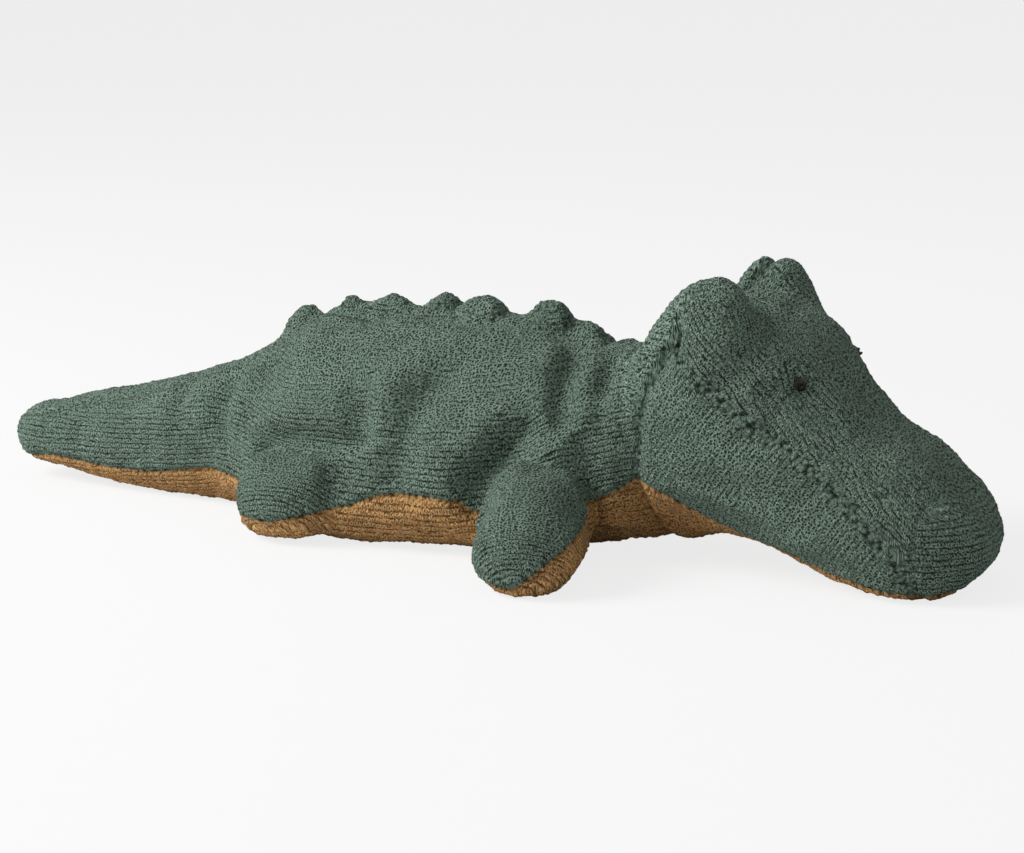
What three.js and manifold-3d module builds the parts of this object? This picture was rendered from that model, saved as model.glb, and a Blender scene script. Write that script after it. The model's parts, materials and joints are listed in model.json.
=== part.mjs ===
import * as THREE from 'three';
import { mergeVertices } from 'three/addons/utils/BufferGeometryUtils.js';
import Module from 'manifold-3d';

// A stuffed terry-cloth crocodile that lies on its belly.
// All lengths are in millimetres. X runs from the tail to the nose, Z is up, and the floor is at Z = 0.
// The toy's right side is at -Y.

const wasm = await Module();
wasm.setup();

// Cloth and clearances
const clothThickness = 3;
const seamGap = 0.3;
const jointGap = 0.8;
const floorCut = 0.5;
const cutReach = 600;
const weldDistance = 0.0001;

// Torso, from the tail hinge to the neck hinge
const torsoRearReach = 108;
const torsoFrontReach = 54;
const torsoHalfWidth = 50;
const torsoHeight = 79;
const bellySeamHeight = 20;

// Spine scutes
const scuteCount = 7;
const scuteFirstPlace = -86;
const scuteLastPlace = 32;
const scuteThickness = 13;
const scuteHeight = 9.5;
const scuteRootDepth = 7;
const scuteSpacingGap = 1.2;
const scuteLean = THREE.MathUtils.degToRad(9);
const scuteHeightShares = [1.1, 0.85, 0.95, 1, 0.9, 1.05, 0.8];

// Tail, from its hinge to its tip
const tailLength = 112;
const tailHalfWidth = 25.5;
const tailHeight = 57;
const tailTipRound = 15;
const tailTipHingeReach = 62;
const tailRoomShare = 0.3;
const tailRootSeamHeight = 14.5;
const tailTipSeamHeight = 10;
const tailSwing = THREE.MathUtils.degToRad(25);
const tailCurl = THREE.MathUtils.degToRad(30);

// Neck, a ball of stuffing between the shoulders and the head
const neckRadius = 33;
const neckGap = 1;
const neckCentreHeight = 42;
const neckSeamHeight = 30;
const neckSwing = THREE.MathUtils.degToRad(16);
const shoulderGap = 4.8;

// Head, turned a little to the toy's right as it lies
const headTurn = THREE.MathUtils.degToRad(-4);
const headStart = 3;
const headLength = 125;
const headHalfWidth = 41.5;
const headHeight = 91;
const noseRound = 20;
const noseSeamReach = 117;
const jawSeamRearHeight = 37;
const jawSeamMiddleReach = 86;
const jawSeamFrontHeight = 4;
const cheekSeamRearHeight = 97;

// Eye bumps and eyes
const bumpAhead = 34;
const bumpAside = 24;
const bumpCentreHeight = 83;
const bumpLengthRadius = 20;
const bumpSideRadius = 15;
const bumpHeightRadius = 19;
const eyeAhead = 65.5;
const eyeAside = 25.5;
const eyeHeight = 69;
const eyeRadius = 2.6;
const eyeTallness = 4.2;
const eyeDepth = 3.2;

// Legs, each from its hinge to its toes. Rows of shares: place, half width, top, widest height, bottom
const frontLeg = {
  name: 'front',
  ahead: 31,
  aside: 48,
  splay: THREE.MathUtils.degToRad(18),
  reach: 39,
  halfWidth: 17.5,
  height: 47,
  toeRound: 14,
  seamHeight: 9,
  shares: [
    [0, 1, 1, 0.33, 0],
    [0.25, 1.07, 0.9, 0.31, 0],
    [0.5, 1.13, 0.78, 0.29, 0],
    [0.75, 1.13, 0.67, 0.27, 0],
    [1, 1.06, 0.6, 0.26, 0],
  ],
};
const rearLeg = {
  name: 'rear',
  ahead: -71,
  aside: 38,
  splay: THREE.MathUtils.degToRad(-4),
  reach: 27,
  halfWidth: 17.5,
  height: 35,
  toeRound: 14,
  seamHeight: 9,
  shares: [
    [0, 1, 1, 0.4, 0],
    [0.5, 1.03, 0.96, 0.38, 0],
    [1, 0.96, 0.86, 0.36, 0],
  ],
};
const legSwing = THREE.MathUtils.degToRad(20);
const legRoomShare = 0.75;

// Shares of each form along its length: place, half width, top, widest height, bottom
const torsoShares = [
  [0, 0.51, 0.71, 0.34, 0],
  [0.093, 0.66, 0.82, 0.34, 0],
  [0.204, 0.84, 0.91, 0.33, 0],
  [0.358, 0.96, 0.97, 0.33, 0],
  [0.543, 1, 1, 0.33, 0],
  [0.698, 0.99, 0.99, 0.34, 0],
  [0.821, 0.95, 0.955, 0.38, 0],
  [0.914, 0.85, 0.925, 0.44, 0.01],
  [1, 0.72, 0.93, 0.5, 0.03],
];
const tailShares = [
  [0, 1, 1, 0.46, 0],
  [0.15, 0.94, 0.885, 0.42, 0],
  [0.31, 0.86, 0.79, 0.385, 0],
  [0.57, 0.72, 0.665, 0.33, 0.005],
  [0.83, 0.56, 0.55, 0.3, 0.045],
  [1, 0.44, 0.48, 0.29, 0.08],
];
const headShares = [
  [0, 0.87, 0.9, 0.42, 0.035],
  [0.111, 0.94, 0.965, 0.39, 0.035],
  [0.23, 0.985, 1, 0.36, 0.035],
  [0.349, 1, 1, 0.33, 0.03],
  [0.468, 0.98, 0.91, 0.3, 0.02],
  [0.563, 0.94, 0.755, 0.27, 0.008],
  [0.667, 0.88, 0.61, 0.235, 0],
  [0.786, 0.8, 0.49, 0.2, 0],
  [0.905, 0.71, 0.395, 0.18, 0],
  [1, 0.64, 0.33, 0.17, 0],
];

// Roundness of each form's upper and lower half: 2 is an ellipse, and more is squarer
const torsoRoundness = { upper: 2.1, lower: 3.2 };
const tailRoundness = { upper: 2.1, lower: 2.3 };
const headRoundness = { upper: 2.9, lower: 2.5 };
const legRoundness = { upper: 2.2, lower: 2.6 };

// Counts of steps round and along a form
const outerSides = 24;
const innerSides = 12;
const outerRings = 12;
const headRings = 14;
const innerRings = 6;
const limbSides = 16;
const limbInnerSides = 8;
const limbRings = 5;
const limbInnerRings = 3;
const roomRings = 1;
const legRoomRings = 3;
const barrelTurns = 16;
const innerBarrelTurns = 12;
const neckTurns = 20;
const neckSteps = 10;

const green = { colour: 0x5c7667, roughness: 0.95 };
const ochre = { colour: 0xbe8f5c, roughness: 0.95 };
const thread = { colour: 0x14161a, roughness: 0.6 };
const fibre = { colour: 0xe9e7e0, roughness: 1 };

/** Turns a closed geometry into a solid that can be joined and cut. */
function solidOf(geometry) {
  const bare = geometry.clone();
  bare.deleteAttribute('normal');
  bare.deleteAttribute('uv');
  const merged = mergeVertices(bare, weldDistance);
  const corners = merged.index.array;
  const kept = [];
  for (let i = 0; i < corners.length; i += 3) {
    const [a, b, c] = [corners[i], corners[i + 1], corners[i + 2]];
    if (a !== b && b !== c && c !== a) kept.push(a, b, c);
  }
  return new wasm.Manifold(new wasm.Mesh({
    numProp: 3,
    vertProperties: new Float32Array(merged.attributes.position.array),
    triVerts: new Uint32Array(kept),
  }));
}

/** Moves a solid by a THREE.Matrix4. */
function placed(solid, matrix) {
  return solid.transform(matrix.elements);
}

function meshOf(name, solid, finish) {
  const { vertProperties, triVerts } = solid.getMesh();
  const geometry = new THREE.BufferGeometry();
  geometry.setAttribute('position', new THREE.BufferAttribute(new Float32Array(vertProperties), 3));
  geometry.setIndex(new THREE.BufferAttribute(new Uint32Array(triVerts), 1));
  geometry.computeVertexNormals();
  const material = new THREE.MeshStandardMaterial({
    color: finish.colour, roughness: finish.roughness, metalness: 0,
  });
  const mesh = new THREE.Mesh(geometry, material);
  mesh.name = name;
  return mesh;
}

/** A box that fills the room on one side of a plane square to an axis. */
function beyond(axis, place, sign) {
  const box = new THREE.BoxGeometry(cutReach, cutReach, cutReach);
  const shift = new THREE.Vector3();
  shift[axis] = place + sign * cutReach / 2;
  return solidOf(box.translate(shift.x, shift.y, shift.z));
}

/** A prism across the toy, from an outline given as [x, z] points that run anticlockwise. */
function acrossPrism(points) {
  const outline = new THREE.Shape(points.map(([x, z]) => new THREE.Vector2(x, z)));
  const prism = new THREE.ExtrudeGeometry(outline, { depth: cutReach, bevelEnabled: false });
  prism.translate(0, 0, -cutReach / 2);
  prism.rotateX(Math.PI / 2);
  return solidOf(prism);
}

/** A stuffed form that swells and tapers along its own X axis, with its underside near Z = 0. */
class StuffedForm {
  constructor({ start = 0, length, halfWidth, height, shares, endRound = 0, roundness }) {
    Object.assign(this, { start, length, halfWidth, height, endRound, roundness });
    const places = shares.map(([place]) => place);
    const rows = shares.map(([, ...row]) => row);
    const columns = rows[0].length;
    this.curve = new THREE.CubicInterpolant(places, rows.flat(), columns, new Float32Array(columns));
  }

  /** Half width, top, widest height and bottom at a share of the length. */
  sectionAt(share, inset) {
    const [width, top, waist, bottom] = this.curve.evaluate(share);
    const waistHeight = waist * this.height;
    const endInset = this.endRound > 0 ? inset : 0;
    const past = this.length * share - (this.length - this.endRound);
    const round = past > 0 ? Math.sqrt(Math.max(0, 1 - (past / (this.endRound - endInset)) ** 2)) : 1;
    return {
      halfWidth: (width * this.halfWidth - inset) * round,
      top: waistHeight + (top * this.height - inset - waistHeight) * round,
      waist: waistHeight,
      bottom: waistHeight - (waistHeight - bottom * this.height + floorCut - inset) * round,
    };
  }

  /** A point of a section, as [across, up], at an angle counted from the section's +Y side. */
  sectionPoint(section, angle) {
    const across = Math.cos(angle);
    const up = Math.sin(angle);
    const power = up >= 0 ? this.roundness.upper : this.roundness.lower;
    const rise = up >= 0 ? section.top - section.waist : section.waist - section.bottom;
    return [
      section.halfWidth * Math.sign(across) * Math.abs(across) ** (2 / power),
      section.waist + rise * Math.sign(up) * Math.abs(up) ** (2 / power),
    ];
  }

  /** The form between two shares of its length, as a closed solid. */
  loft({ from = 0, to = 1, inset = 0, rings, sides }) {
    const rounded = this.endRound > 0 && to === 1;
    const last = rounded ? 1 - inset / this.length : to;
    const share = (i) => from + (last - from) * (rounded ? Math.sin(Math.PI / 2 * i / rings) : i / rings);
    const ringCount = rounded ? rings : rings + 1;
    const points = [];
    for (let i = 0; i < ringCount; i += 1) {
      const section = this.sectionAt(share(i), inset);
      for (let j = 0; j < sides; j += 1) {
        const [y, z] = this.sectionPoint(section, 2 * Math.PI * j / sides);
        points.push(this.start + this.length * share(i), y, z);
      }
    }
    const startCentre = points.length / 3;
    points.push(this.start + this.length * from, 0, this.sectionAt(from, inset).waist);
    points.push(this.start + this.length * last, 0, this.sectionAt(last, inset).waist);
    const faces = [];
    for (let j = 0; j < sides; j += 1) {
      const next = (j + 1) % sides;
      for (let i = 0; i < ringCount - 1; i += 1) {
        const [a, b] = [i * sides + j, i * sides + next];
        const [c, d] = [a + sides, b + sides];
        faces.push(a, b, d, a, d, c);
      }
      const lastRing = (ringCount - 1) * sides;
      faces.push(startCentre, next, j, startCentre + 1, lastRing + j, lastRing + next);
    }
    const geometry = new THREE.BufferGeometry();
    geometry.setAttribute('position', new THREE.Float32BufferAttribute(points, 3));
    geometry.setIndex(faces);
    return solidOf(geometry);
  }

  /** The section at a share, revolved about the vertical line through its middle. */
  barrel({ at, inset = 0, sides }) {
    const section = this.sectionAt(at, inset);
    const profile = [];
    for (let j = -sides / 4; j <= sides / 4; j += 1) {
      const [radius, z] = this.sectionPoint(section, 2 * Math.PI * j / sides);
      profile.push(new THREE.Vector2(Math.abs(j) === sides / 4 ? 0 : radius, z));
    }
    const lathe = new THREE.LatheGeometry(profile, inset > 0 ? innerBarrelTurns : barrelTurns);
    lathe.rotateX(Math.PI / 2);
    lathe.translate(this.start + this.length * at, 0, 0);
    return solidOf(lathe);
  }
}

/** The room that a hinged form takes as it swings both ways about the vertical line at a share. */
function swingRoom(form, { at, to, swing, rings = roomRings }) {
  const pivot = form.start + form.length * at;
  let room = form.barrel({ at, inset: -jointGap, sides: limbSides });
  const limb = form.loft({ from: at, to, inset: -jointGap, rings, sides: limbSides });
  for (const angle of [-swing, swing]) {
    const turn = new THREE.Matrix4().makeTranslation(pivot, 0, 0)
      .multiply(new THREE.Matrix4().makeRotationZ(angle))
      .multiply(new THREE.Matrix4().makeTranslation(-pivot, 0, 0));
    room = room.add(placed(limb, turn));
  }
  return room;
}

const aboveFloor = beyond('z', 0, 1);
const leftHalf = beyond('y', seamGap / 2, 1);
const rightHalf = beyond('y', -seamGap / 2, -1);
const aboveSeam = (height) => beyond('z', height + seamGap / 2, 1);
const belowSeam = (height) => beyond('z', height - seamGap / 2, -1);

/**
 * The cloth and the stuffing of a piece, from its whole form at an inset and the room that its
 * neighbours take. The cloth is open where a neighbour enters, and the stuffing is hollowed there.
 */
function layersOf(formAt, room) {
  const whole = formAt(0).intersect(aboveFloor);
  const cloth = whole.subtract(formAt(clothThickness));
  const stuffing = formAt(clothThickness + seamGap);
  return room ? { cloth: cloth.subtract(room), stuffing: stuffing.subtract(room) } : { cloth, stuffing };
}

const torsoForm = new StuffedForm({
  start: -torsoRearReach, length: torsoRearReach + torsoFrontReach,
  halfWidth: torsoHalfWidth, height: torsoHeight, shares: torsoShares, roundness: torsoRoundness,
});
const tailForm = new StuffedForm({
  length: tailLength, halfWidth: tailHalfWidth, height: tailHeight, shares: tailShares,
  endRound: tailTipRound, roundness: tailRoundness,
});
const headForm = new StuffedForm({
  start: headStart, length: headLength, halfWidth: headHalfWidth, height: headHeight,
  shares: headShares, endRound: noseRound, roundness: headRoundness,
});

const legForm = (leg) => new StuffedForm({
  length: leg.reach, halfWidth: leg.halfWidth, height: leg.height, shares: leg.shares,
  endRound: leg.toeRound, roundness: legRoundness,
});

/**
 * A hinged piece between two shares of a form, with the barrel that it turns on at the first of
 * them. Returns the function that builds it at an inset.
 */
function hingedSolid(form, { from = 0, to = 1 } = {}) {
  return (inset) => {
    const inner = inset > 0;
    const sides = inner ? limbInnerSides : limbSides;
    return form.loft({ from, to, inset, rings: inner ? limbInnerRings : limbRings, sides })
      .add(form.barrel({ at: from, inset, sides }));
  };
}

/** Where a leg's hinge stands and which way the leg points, for side +1 (left) or -1 (right). */
function legPlace(leg, side) {
  return new THREE.Matrix4().makeTranslation(leg.ahead, side * leg.aside, 0)
    .multiply(new THREE.Matrix4().makeRotationZ(side * (Math.PI / 2 - leg.splay)));
}

const tailPlace = new THREE.Matrix4().makeTranslation(-torsoRearReach, 0, 0)
  .multiply(new THREE.Matrix4().makeRotationZ(Math.PI));
const neckPlace = new THREE.Matrix4().makeTranslation(torsoFrontReach, 0, 0)
  .multiply(new THREE.Matrix4().makeRotationZ(headTurn));

/** The neck: a ball that turns sideways in the shoulders and lets the head nod on its front. */
function neckBall(inset) {
  const [turns, steps] = inset > 0 ? [innerBarrelTurns, innerRings] : [neckTurns, neckSteps];
  const ball = new THREE.SphereGeometry(neckRadius - inset, turns, steps);
  ball.rotateX(Math.PI / 2);
  return solidOf(ball.translate(0, 0, neckCentreHeight));
}

/** The V-shaped room in front of the shoulders in which the neck and head turn. */
function neckRoom() {
  const wing = new THREE.Vector2(
    -shoulderGap - cutReach * Math.sin(neckSwing), cutReach * Math.cos(neckSwing),
  );
  const outline = new THREE.Shape([
    new THREE.Vector2(-shoulderGap, 0), new THREE.Vector2(wing.x, -wing.y),
    new THREE.Vector2(cutReach, -cutReach), new THREE.Vector2(cutReach, cutReach), wing,
  ]);
  const wedge = new THREE.ExtrudeGeometry(outline, { depth: cutReach, bevelEnabled: false });
  wedge.translate(0, 0, -cutReach / 2);
  return solidOf(wedge).add(neckBall(-neckGap));
}

/** The room that the neck, the tail and the legs take in the torso. */
function torsoRoom() {
  const tailRoom = swingRoom(tailForm, { at: 0, to: tailRoomShare, swing: tailSwing });
  let room = placed(neckRoom(), neckPlace).add(placed(tailRoom, tailPlace));
  for (const leg of [frontLeg, rearLeg]) {
    const legRoom = swingRoom(legForm(leg), {
      at: 0, to: legRoomShare, swing: legSwing, rings: legRoomRings,
    });
    for (const side of [-1, 1]) room = room.add(placed(legRoom, legPlace(leg, side)));
  }
  return room;
}

function torsoSolid(inset) {
  const [rings, sides] = inset > 0 ? [innerRings, innerSides] : [outerRings, outerSides];
  return torsoForm.loft({ inset, rings, sides });
}

function buildTorso() {
  const group = new THREE.Group();
  const { cloth, stuffing } = layersOf(torsoSolid, torsoRoom());
  const back = cloth.intersect(aboveSeam(bellySeamHeight));
  group.add(
    meshOf('torso_stuffing', stuffing, fibre),
    meshOf('back_cover_left', back.intersect(leftHalf), green),
    meshOf('back_cover_right', back.intersect(rightHalf), green),
    meshOf('belly_cover', cloth.intersect(belowSeam(bellySeamHeight)), ochre),
  );
  return group;
}

/** Seven stuffed scallops in a row on the spine, leaning to either side in turn. */
function buildScutes() {
  const group = new THREE.Group();
  const bed = torsoForm.loft({ inset: -seamGap, rings: outerRings, sides: outerSides })
    .add(placed(neckRoom(), neckPlace));
  const spacing = (scuteLastPlace - scuteFirstPlace) / (scuteCount - 1);
  for (let i = 0; i < scuteCount; i += 1) {
    const place = scuteFirstPlace + spacing * i;
    const share = (place + torsoRearReach) / torsoForm.length;
    const backHeight = torsoForm.sectionAt(share, 0).top;
    const heightShare = scuteHeightShares[i % scuteHeightShares.length];
    const scallop = new THREE.SphereGeometry(1, innerSides, limbInnerSides);
    scallop.scale(
      (spacing - scuteSpacingGap) / 2, scuteThickness / 2, scuteHeight * heightShare + scuteRootDepth,
    );
    scallop.rotateX(scuteLean * (i % 2 === 0 ? 1 : -1));
    scallop.translate(place, 0, backHeight - scuteRootDepth);
    group.add(meshOf(`spine_scute_${i + 1}`, solidOf(scallop).subtract(bed), green));
  }
  return group;
}

function buildTail() {
  const tipShare = tailTipHingeReach / tailLength;
  const tipRoomShare = tipShare + tailRoomShare / 2;
  const tipRoom = swingRoom(tailForm, { at: tipShare, to: tipRoomShare, swing: tailCurl });
  const group = new THREE.Group();
  group.applyMatrix4(tailPlace);
  for (const { name, span, seam, room } of [
    { name: 'tail_root', span: { to: tipShare }, seam: tailRootSeamHeight, room: tipRoom },
    { name: 'tail_tip', span: { from: tipShare }, seam: tailTipSeamHeight },
  ]) {
    const { cloth, stuffing } = layersOf(hingedSolid(tailForm, span), room);
    group.add(
      meshOf(`${name}_stuffing`, stuffing, fibre),
      meshOf(`${name}_top_cover`, cloth.intersect(aboveSeam(seam)), green),
      meshOf(`${name}_under_cover`, cloth.intersect(belowSeam(seam)), ochre),
    );
  }
  return group;
}

function buildLeg(leg, side) {
  const { cloth, stuffing } = layersOf(hingedSolid(legForm(leg)));
  const name = `${leg.name}_leg_${side > 0 ? 'left' : 'right'}`;
  const group = new THREE.Group();
  group.applyMatrix4(legPlace(leg, side));
  group.add(
    meshOf(`${name}_stuffing`, stuffing, fibre),
    meshOf(`${name}_top_cover`, cloth.intersect(aboveSeam(leg.seamHeight)), green),
    meshOf(`${name}_sole_cover`, cloth.intersect(belowSeam(leg.seamHeight)), ochre),
  );
  return group;
}

function addNeck(group) {
  const { cloth, stuffing } = layersOf(neckBall);
  group.add(
    meshOf('neck_stuffing', stuffing, fibre),
    meshOf('nape_cover', cloth.intersect(aboveSeam(neckSeamHeight)), green),
    meshOf('throat_cover', cloth.intersect(belowSeam(neckSeamHeight)), ochre),
  );
}

function headSolid(inset) {
  const [rings, sides] = inset > 0 ? [innerRings, innerSides] : [headRings, outerSides];
  return headForm.loft({ from: inset / headLength, inset, rings, sides });
}

/** The snout, cheek and jaw panels meet along two seams, seen from the side as bent lines. */
function headPanels(cloth) {
  const nose = headStart + headLength + clothThickness;
  const seam = seamGap / 2;
  const jawLine = [
    [-cutReach / 2, jawSeamRearHeight], [0, jawSeamRearHeight],
    [jawSeamMiddleReach, jawSeamFrontHeight], [nose, jawSeamFrontHeight],
  ];
  const cheekLine = [
    [-cutReach / 2, cheekSeamRearHeight], [0, cheekSeamRearHeight], [noseSeamReach, jawSeamFrontHeight],
  ];
  const raised = (line, lift) => line.map(([x, z]) => [x, z + lift]);
  const jaw = acrossPrism([
    [-cutReach / 2, -cutReach / 2], [nose, -cutReach / 2], ...raised(jawLine, -seam).reverse(),
  ]);
  const snout = acrossPrism([
    ...raised(cheekLine, seam), [nose, jawSeamFrontHeight + seam], [nose, cutReach / 2],
    [-cutReach / 2, cutReach / 2],
  ]);
  const cheek = acrossPrism([
    ...raised(jawLine.slice(0, -1), seam), [noseSeamReach - seam, jawSeamFrontHeight + seam],
    ...raised(cheekLine.slice(0, 2), -seam).reverse(),
  ]);
  return { jaw: cloth.intersect(jaw), snout: cloth.intersect(snout), cheek: cloth.intersect(cheek) };
}

/** One eye bump, sewn from a front and a rear half and set on the head. */
function addEyeBump(group, side, bed) {
  const bump = new THREE.SphereGeometry(1, limbSides, neckSteps);
  bump.scale(bumpLengthRadius, bumpSideRadius, bumpHeightRadius);
  bump.translate(bumpAhead, side * bumpAside, bumpCentreHeight);
  const solid = solidOf(bump).subtract(bed);
  const name = side > 0 ? 'left' : 'right';
  group.add(
    meshOf(`eye_bump_front_${name}`, solid.intersect(beyond('x', bumpAhead + seamGap / 2, 1)), green),
    meshOf(`eye_bump_rear_${name}`, solid.intersect(beyond('x', bumpAhead - seamGap / 2, -1)), green),
  );
}

/** One eye: a flat knot of black thread on the face. */
function addEye(group, side, bed) {
  const knot = new THREE.SphereGeometry(1, limbInnerSides, limbRings);
  knot.scale(eyeDepth, eyeRadius, eyeTallness);
  knot.translate(eyeAhead, side * eyeAside, eyeHeight);
  group.add(meshOf(`eye_${side > 0 ? 'left' : 'right'}`, solidOf(knot).subtract(bed), thread));
}

function addHead(group) {
  const { cloth, stuffing } = layersOf(headSolid, neckBall(-neckGap));
  const panels = headPanels(cloth);
  const bed = headForm.loft({ inset: -seamGap, rings: headRings, sides: outerSides });
  group.add(
    meshOf('head_stuffing', stuffing, fibre),
    meshOf('snout_cover', panels.snout, green),
    meshOf('cheek_cover_left', panels.cheek.intersect(leftHalf), green),
    meshOf('cheek_cover_right', panels.cheek.intersect(rightHalf), green),
    meshOf('jaw_cover', panels.jaw, ochre),
  );
  for (const side of [-1, 1]) {
    addEyeBump(group, side, bed);
    addEye(group, side, bed);
  }
}

function buildNeckAndHead() {
  const group = new THREE.Group();
  group.applyMatrix4(neckPlace);
  addNeck(group);
  addHead(group);
  return group;
}

/** The whole toy, standing on Z = 0 with its origin under the middle of its box. */
function buildCrocodile() {
  const toy = new THREE.Group();
  toy.add(buildTorso(), buildScutes(), buildTail(), buildNeckAndHead());
  for (const leg of [frontLeg, rearLeg]) {
    for (const side of [-1, 1]) toy.add(buildLeg(leg, side));
  }
  const middle = new THREE.Box3().setFromObject(toy, true).getCenter(new THREE.Vector3());
  toy.position.set(-middle.x, -middle.y, 0);
  const crocodile = new THREE.Group();
  crocodile.add(toy);
  return crocodile;
}

export default buildCrocodile();
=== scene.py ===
"""A stuffed terry-cloth crocodile that lies on its belly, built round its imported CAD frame.

Sizes are in millimetres in the toy's own frame: X runs from the tail to the nose along the spine,
Y to the toy's left and Z up from the floor. Meshes are written in metres in the frame of the model.
"""

from __future__ import annotations

import json
import logging
import math
from collections.abc import Callable
from dataclasses import dataclass, field
from enum import Enum

import bpy
import numpy as np
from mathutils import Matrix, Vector


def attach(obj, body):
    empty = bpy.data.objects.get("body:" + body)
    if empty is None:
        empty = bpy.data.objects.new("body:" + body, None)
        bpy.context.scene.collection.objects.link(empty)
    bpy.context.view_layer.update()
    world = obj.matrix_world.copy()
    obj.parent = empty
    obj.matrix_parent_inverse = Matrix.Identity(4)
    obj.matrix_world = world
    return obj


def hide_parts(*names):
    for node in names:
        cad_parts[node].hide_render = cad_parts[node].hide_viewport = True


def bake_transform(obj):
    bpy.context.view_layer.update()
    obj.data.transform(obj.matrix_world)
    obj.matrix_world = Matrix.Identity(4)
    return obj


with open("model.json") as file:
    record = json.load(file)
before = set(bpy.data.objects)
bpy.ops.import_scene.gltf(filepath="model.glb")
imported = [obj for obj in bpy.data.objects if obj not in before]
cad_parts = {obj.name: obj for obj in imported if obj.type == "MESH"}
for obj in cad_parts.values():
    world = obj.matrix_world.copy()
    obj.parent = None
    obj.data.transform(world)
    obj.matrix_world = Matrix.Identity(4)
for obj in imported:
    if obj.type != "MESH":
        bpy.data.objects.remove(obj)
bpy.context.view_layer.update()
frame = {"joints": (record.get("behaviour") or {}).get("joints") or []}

log = logging.getLogger("crocodile")

Place = tuple[float, float, float]
Colour = tuple[float, float, float, float]
Form = tuple[np.ndarray, list[tuple[int, ...]]]
"""A closed form: its points, and its faces as tuples of point numbers."""
Measure = Callable[[np.ndarray], np.ndarray]
"""A function that gives one value for each point."""

Rows = tuple[np.ndarray, np.ndarray]
"""How rows of cloth lie: each point's place along a row, and across the rows."""

MM = 0.001
SHOULDER_X = 54.0
"""The neck hinge's place along the toy's spine."""
HINGES = {joint["name"]: Vector(joint["pos_m"]) for joint in frame["joints"]}
ORIGIN = HINGES["neck_turn"] - Vector((SHOULDER_X * MM, 0.0, HINGES["neck_turn"].z))
"""Where the toy's own frame starts in the frame of the model."""


def to_scene(points: np.ndarray) -> np.ndarray:
    """Moves points from the toy's frame, in millimetres, to the model's frame, in metres."""
    return points * MM + np.array(ORIGIN)


def to_toy(points: np.ndarray) -> np.ndarray:
    """Moves points from the model's frame, in metres, to the toy's frame, in millimetres."""
    return (points - np.array(ORIGIN)) / MM


def ramp(low: float, high: float, values: np.ndarray) -> np.ndarray:
    """Rises smoothly from 0 at low to 1 at high."""
    share = np.clip((values - low) / (high - low), 0.0, 1.0)
    return share * share * (3.0 - 2.0 * share)


def curve_through(stations: np.ndarray, places: np.ndarray) -> np.ndarray:
    """Follows a smooth curve through stations.

    Args:
        stations: Rows of a place and the values there, with rising places.
        places: Where the values are wanted.

    Returns:
        One row of values for each place.
    """
    knots, values = stations[:, 0], stations[:, 1:]
    slopes = np.gradient(values, knots, axis=0)
    i = np.clip(np.searchsorted(knots, places) - 1, 0, len(knots) - 2)
    span = (knots[i + 1] - knots[i])[:, None]
    t = np.clip((places - knots[i])[:, None] / span, 0.0, 1.0)
    return (
        (2 * t**3 - 3 * t**2 + 1) * values[i]
        + (t**3 - 2 * t**2 + t) * span * slopes[i]
        + (3 * t**2 - 2 * t**3) * values[i + 1]
        + (t**3 - t**2) * span * slopes[i + 1]
    )


def scatter(*cells: np.ndarray) -> np.ndarray:
    """Gives each cell of a lattice its own number from 0 to 1, the same in every run."""
    mixed = sum(cell * step for cell, step in zip(cells, (127.1, 311.7, 74.7, 269.5)))
    return np.modf(np.abs(np.sin(mixed) * 43758.5453))[0]


def soft_noise(points: np.ndarray, size: float, seed: float) -> np.ndarray:
    """Smooth noise from -1 to 1.

    Args:
        points: Points in millimetres.
        size: The distance over which the noise changes.
        seed: Which of the noises is wanted.

    Returns:
        One value for each point.
    """
    cells = points / size
    base = np.floor(cells)
    part = cells - base
    part = part * part * (3.0 - 2.0 * part)
    total = np.zeros(len(points))
    for corner in range(8):
        step = np.array([corner & 1, corner >> 1 & 1, corner >> 2 & 1])
        weight = np.prod(np.where(step, part, 1.0 - part), axis=1)
        x, y, z = (base + step).T
        total += weight * scatter(x, y, z, np.full(len(points), seed))
    return 2.0 * total - 1.0


def ring_faces(rings: int, sides: int) -> list[tuple[int, ...]]:
    """Joins rings of points with four-cornered faces.

    Args:
        rings: How many rings there are, one after the other.
        sides: How many points a ring has.

    Returns:
        The faces as tuples of point numbers.
    """
    faces = []
    for start in range(0, (rings - 1) * sides, sides):
        for j in range(sides):
            k = (j + 1) % sides
            faces.append((start + j, start + k, start + sides + k, start + sides + j))
    return faces


def laid(rows: Rows, mask: np.ndarray, there: Rows) -> Rows:
    """Lays the rows of the cloth another way where a mask says so."""
    return np.where(mask, there[0], rows[0]), np.where(mask, there[1], rows[1])


def slanted(x: np.ndarray, z: np.ndarray, degrees: float) -> Rows:
    """Lays rows on an upright side of the toy so that they rise by an angle."""
    c, s = math.cos(math.radians(degrees)), math.sin(math.radians(degrees))
    return x * c + z * s, x * s - z * c


def mesh_of(name: str, points: np.ndarray, faces: np.ndarray) -> bpy.types.Mesh:
    """Makes a mesh.

    Args:
        name: Its name.
        points: Its points in metres.
        faces: Its faces, all with the same number of corners, as rows of point numbers.

    Returns:
        The mesh.
    """
    mesh = bpy.data.meshes.new(name)
    mesh.vertices.add(len(points))
    mesh.vertices.foreach_set("co", np.ascontiguousarray(points, np.float32).ravel())
    count, corners = faces.shape
    mesh.loops.add(count * corners)
    mesh.loops.foreach_set("vertex_index", np.ascontiguousarray(faces, np.int32).ravel())
    mesh.polygons.add(count)
    mesh.polygons.foreach_set("loop_start", np.arange(0, count * corners, corners, dtype=np.int32))
    mesh.update(calc_edges=True)
    mesh.shade_smooth()
    return mesh


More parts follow.
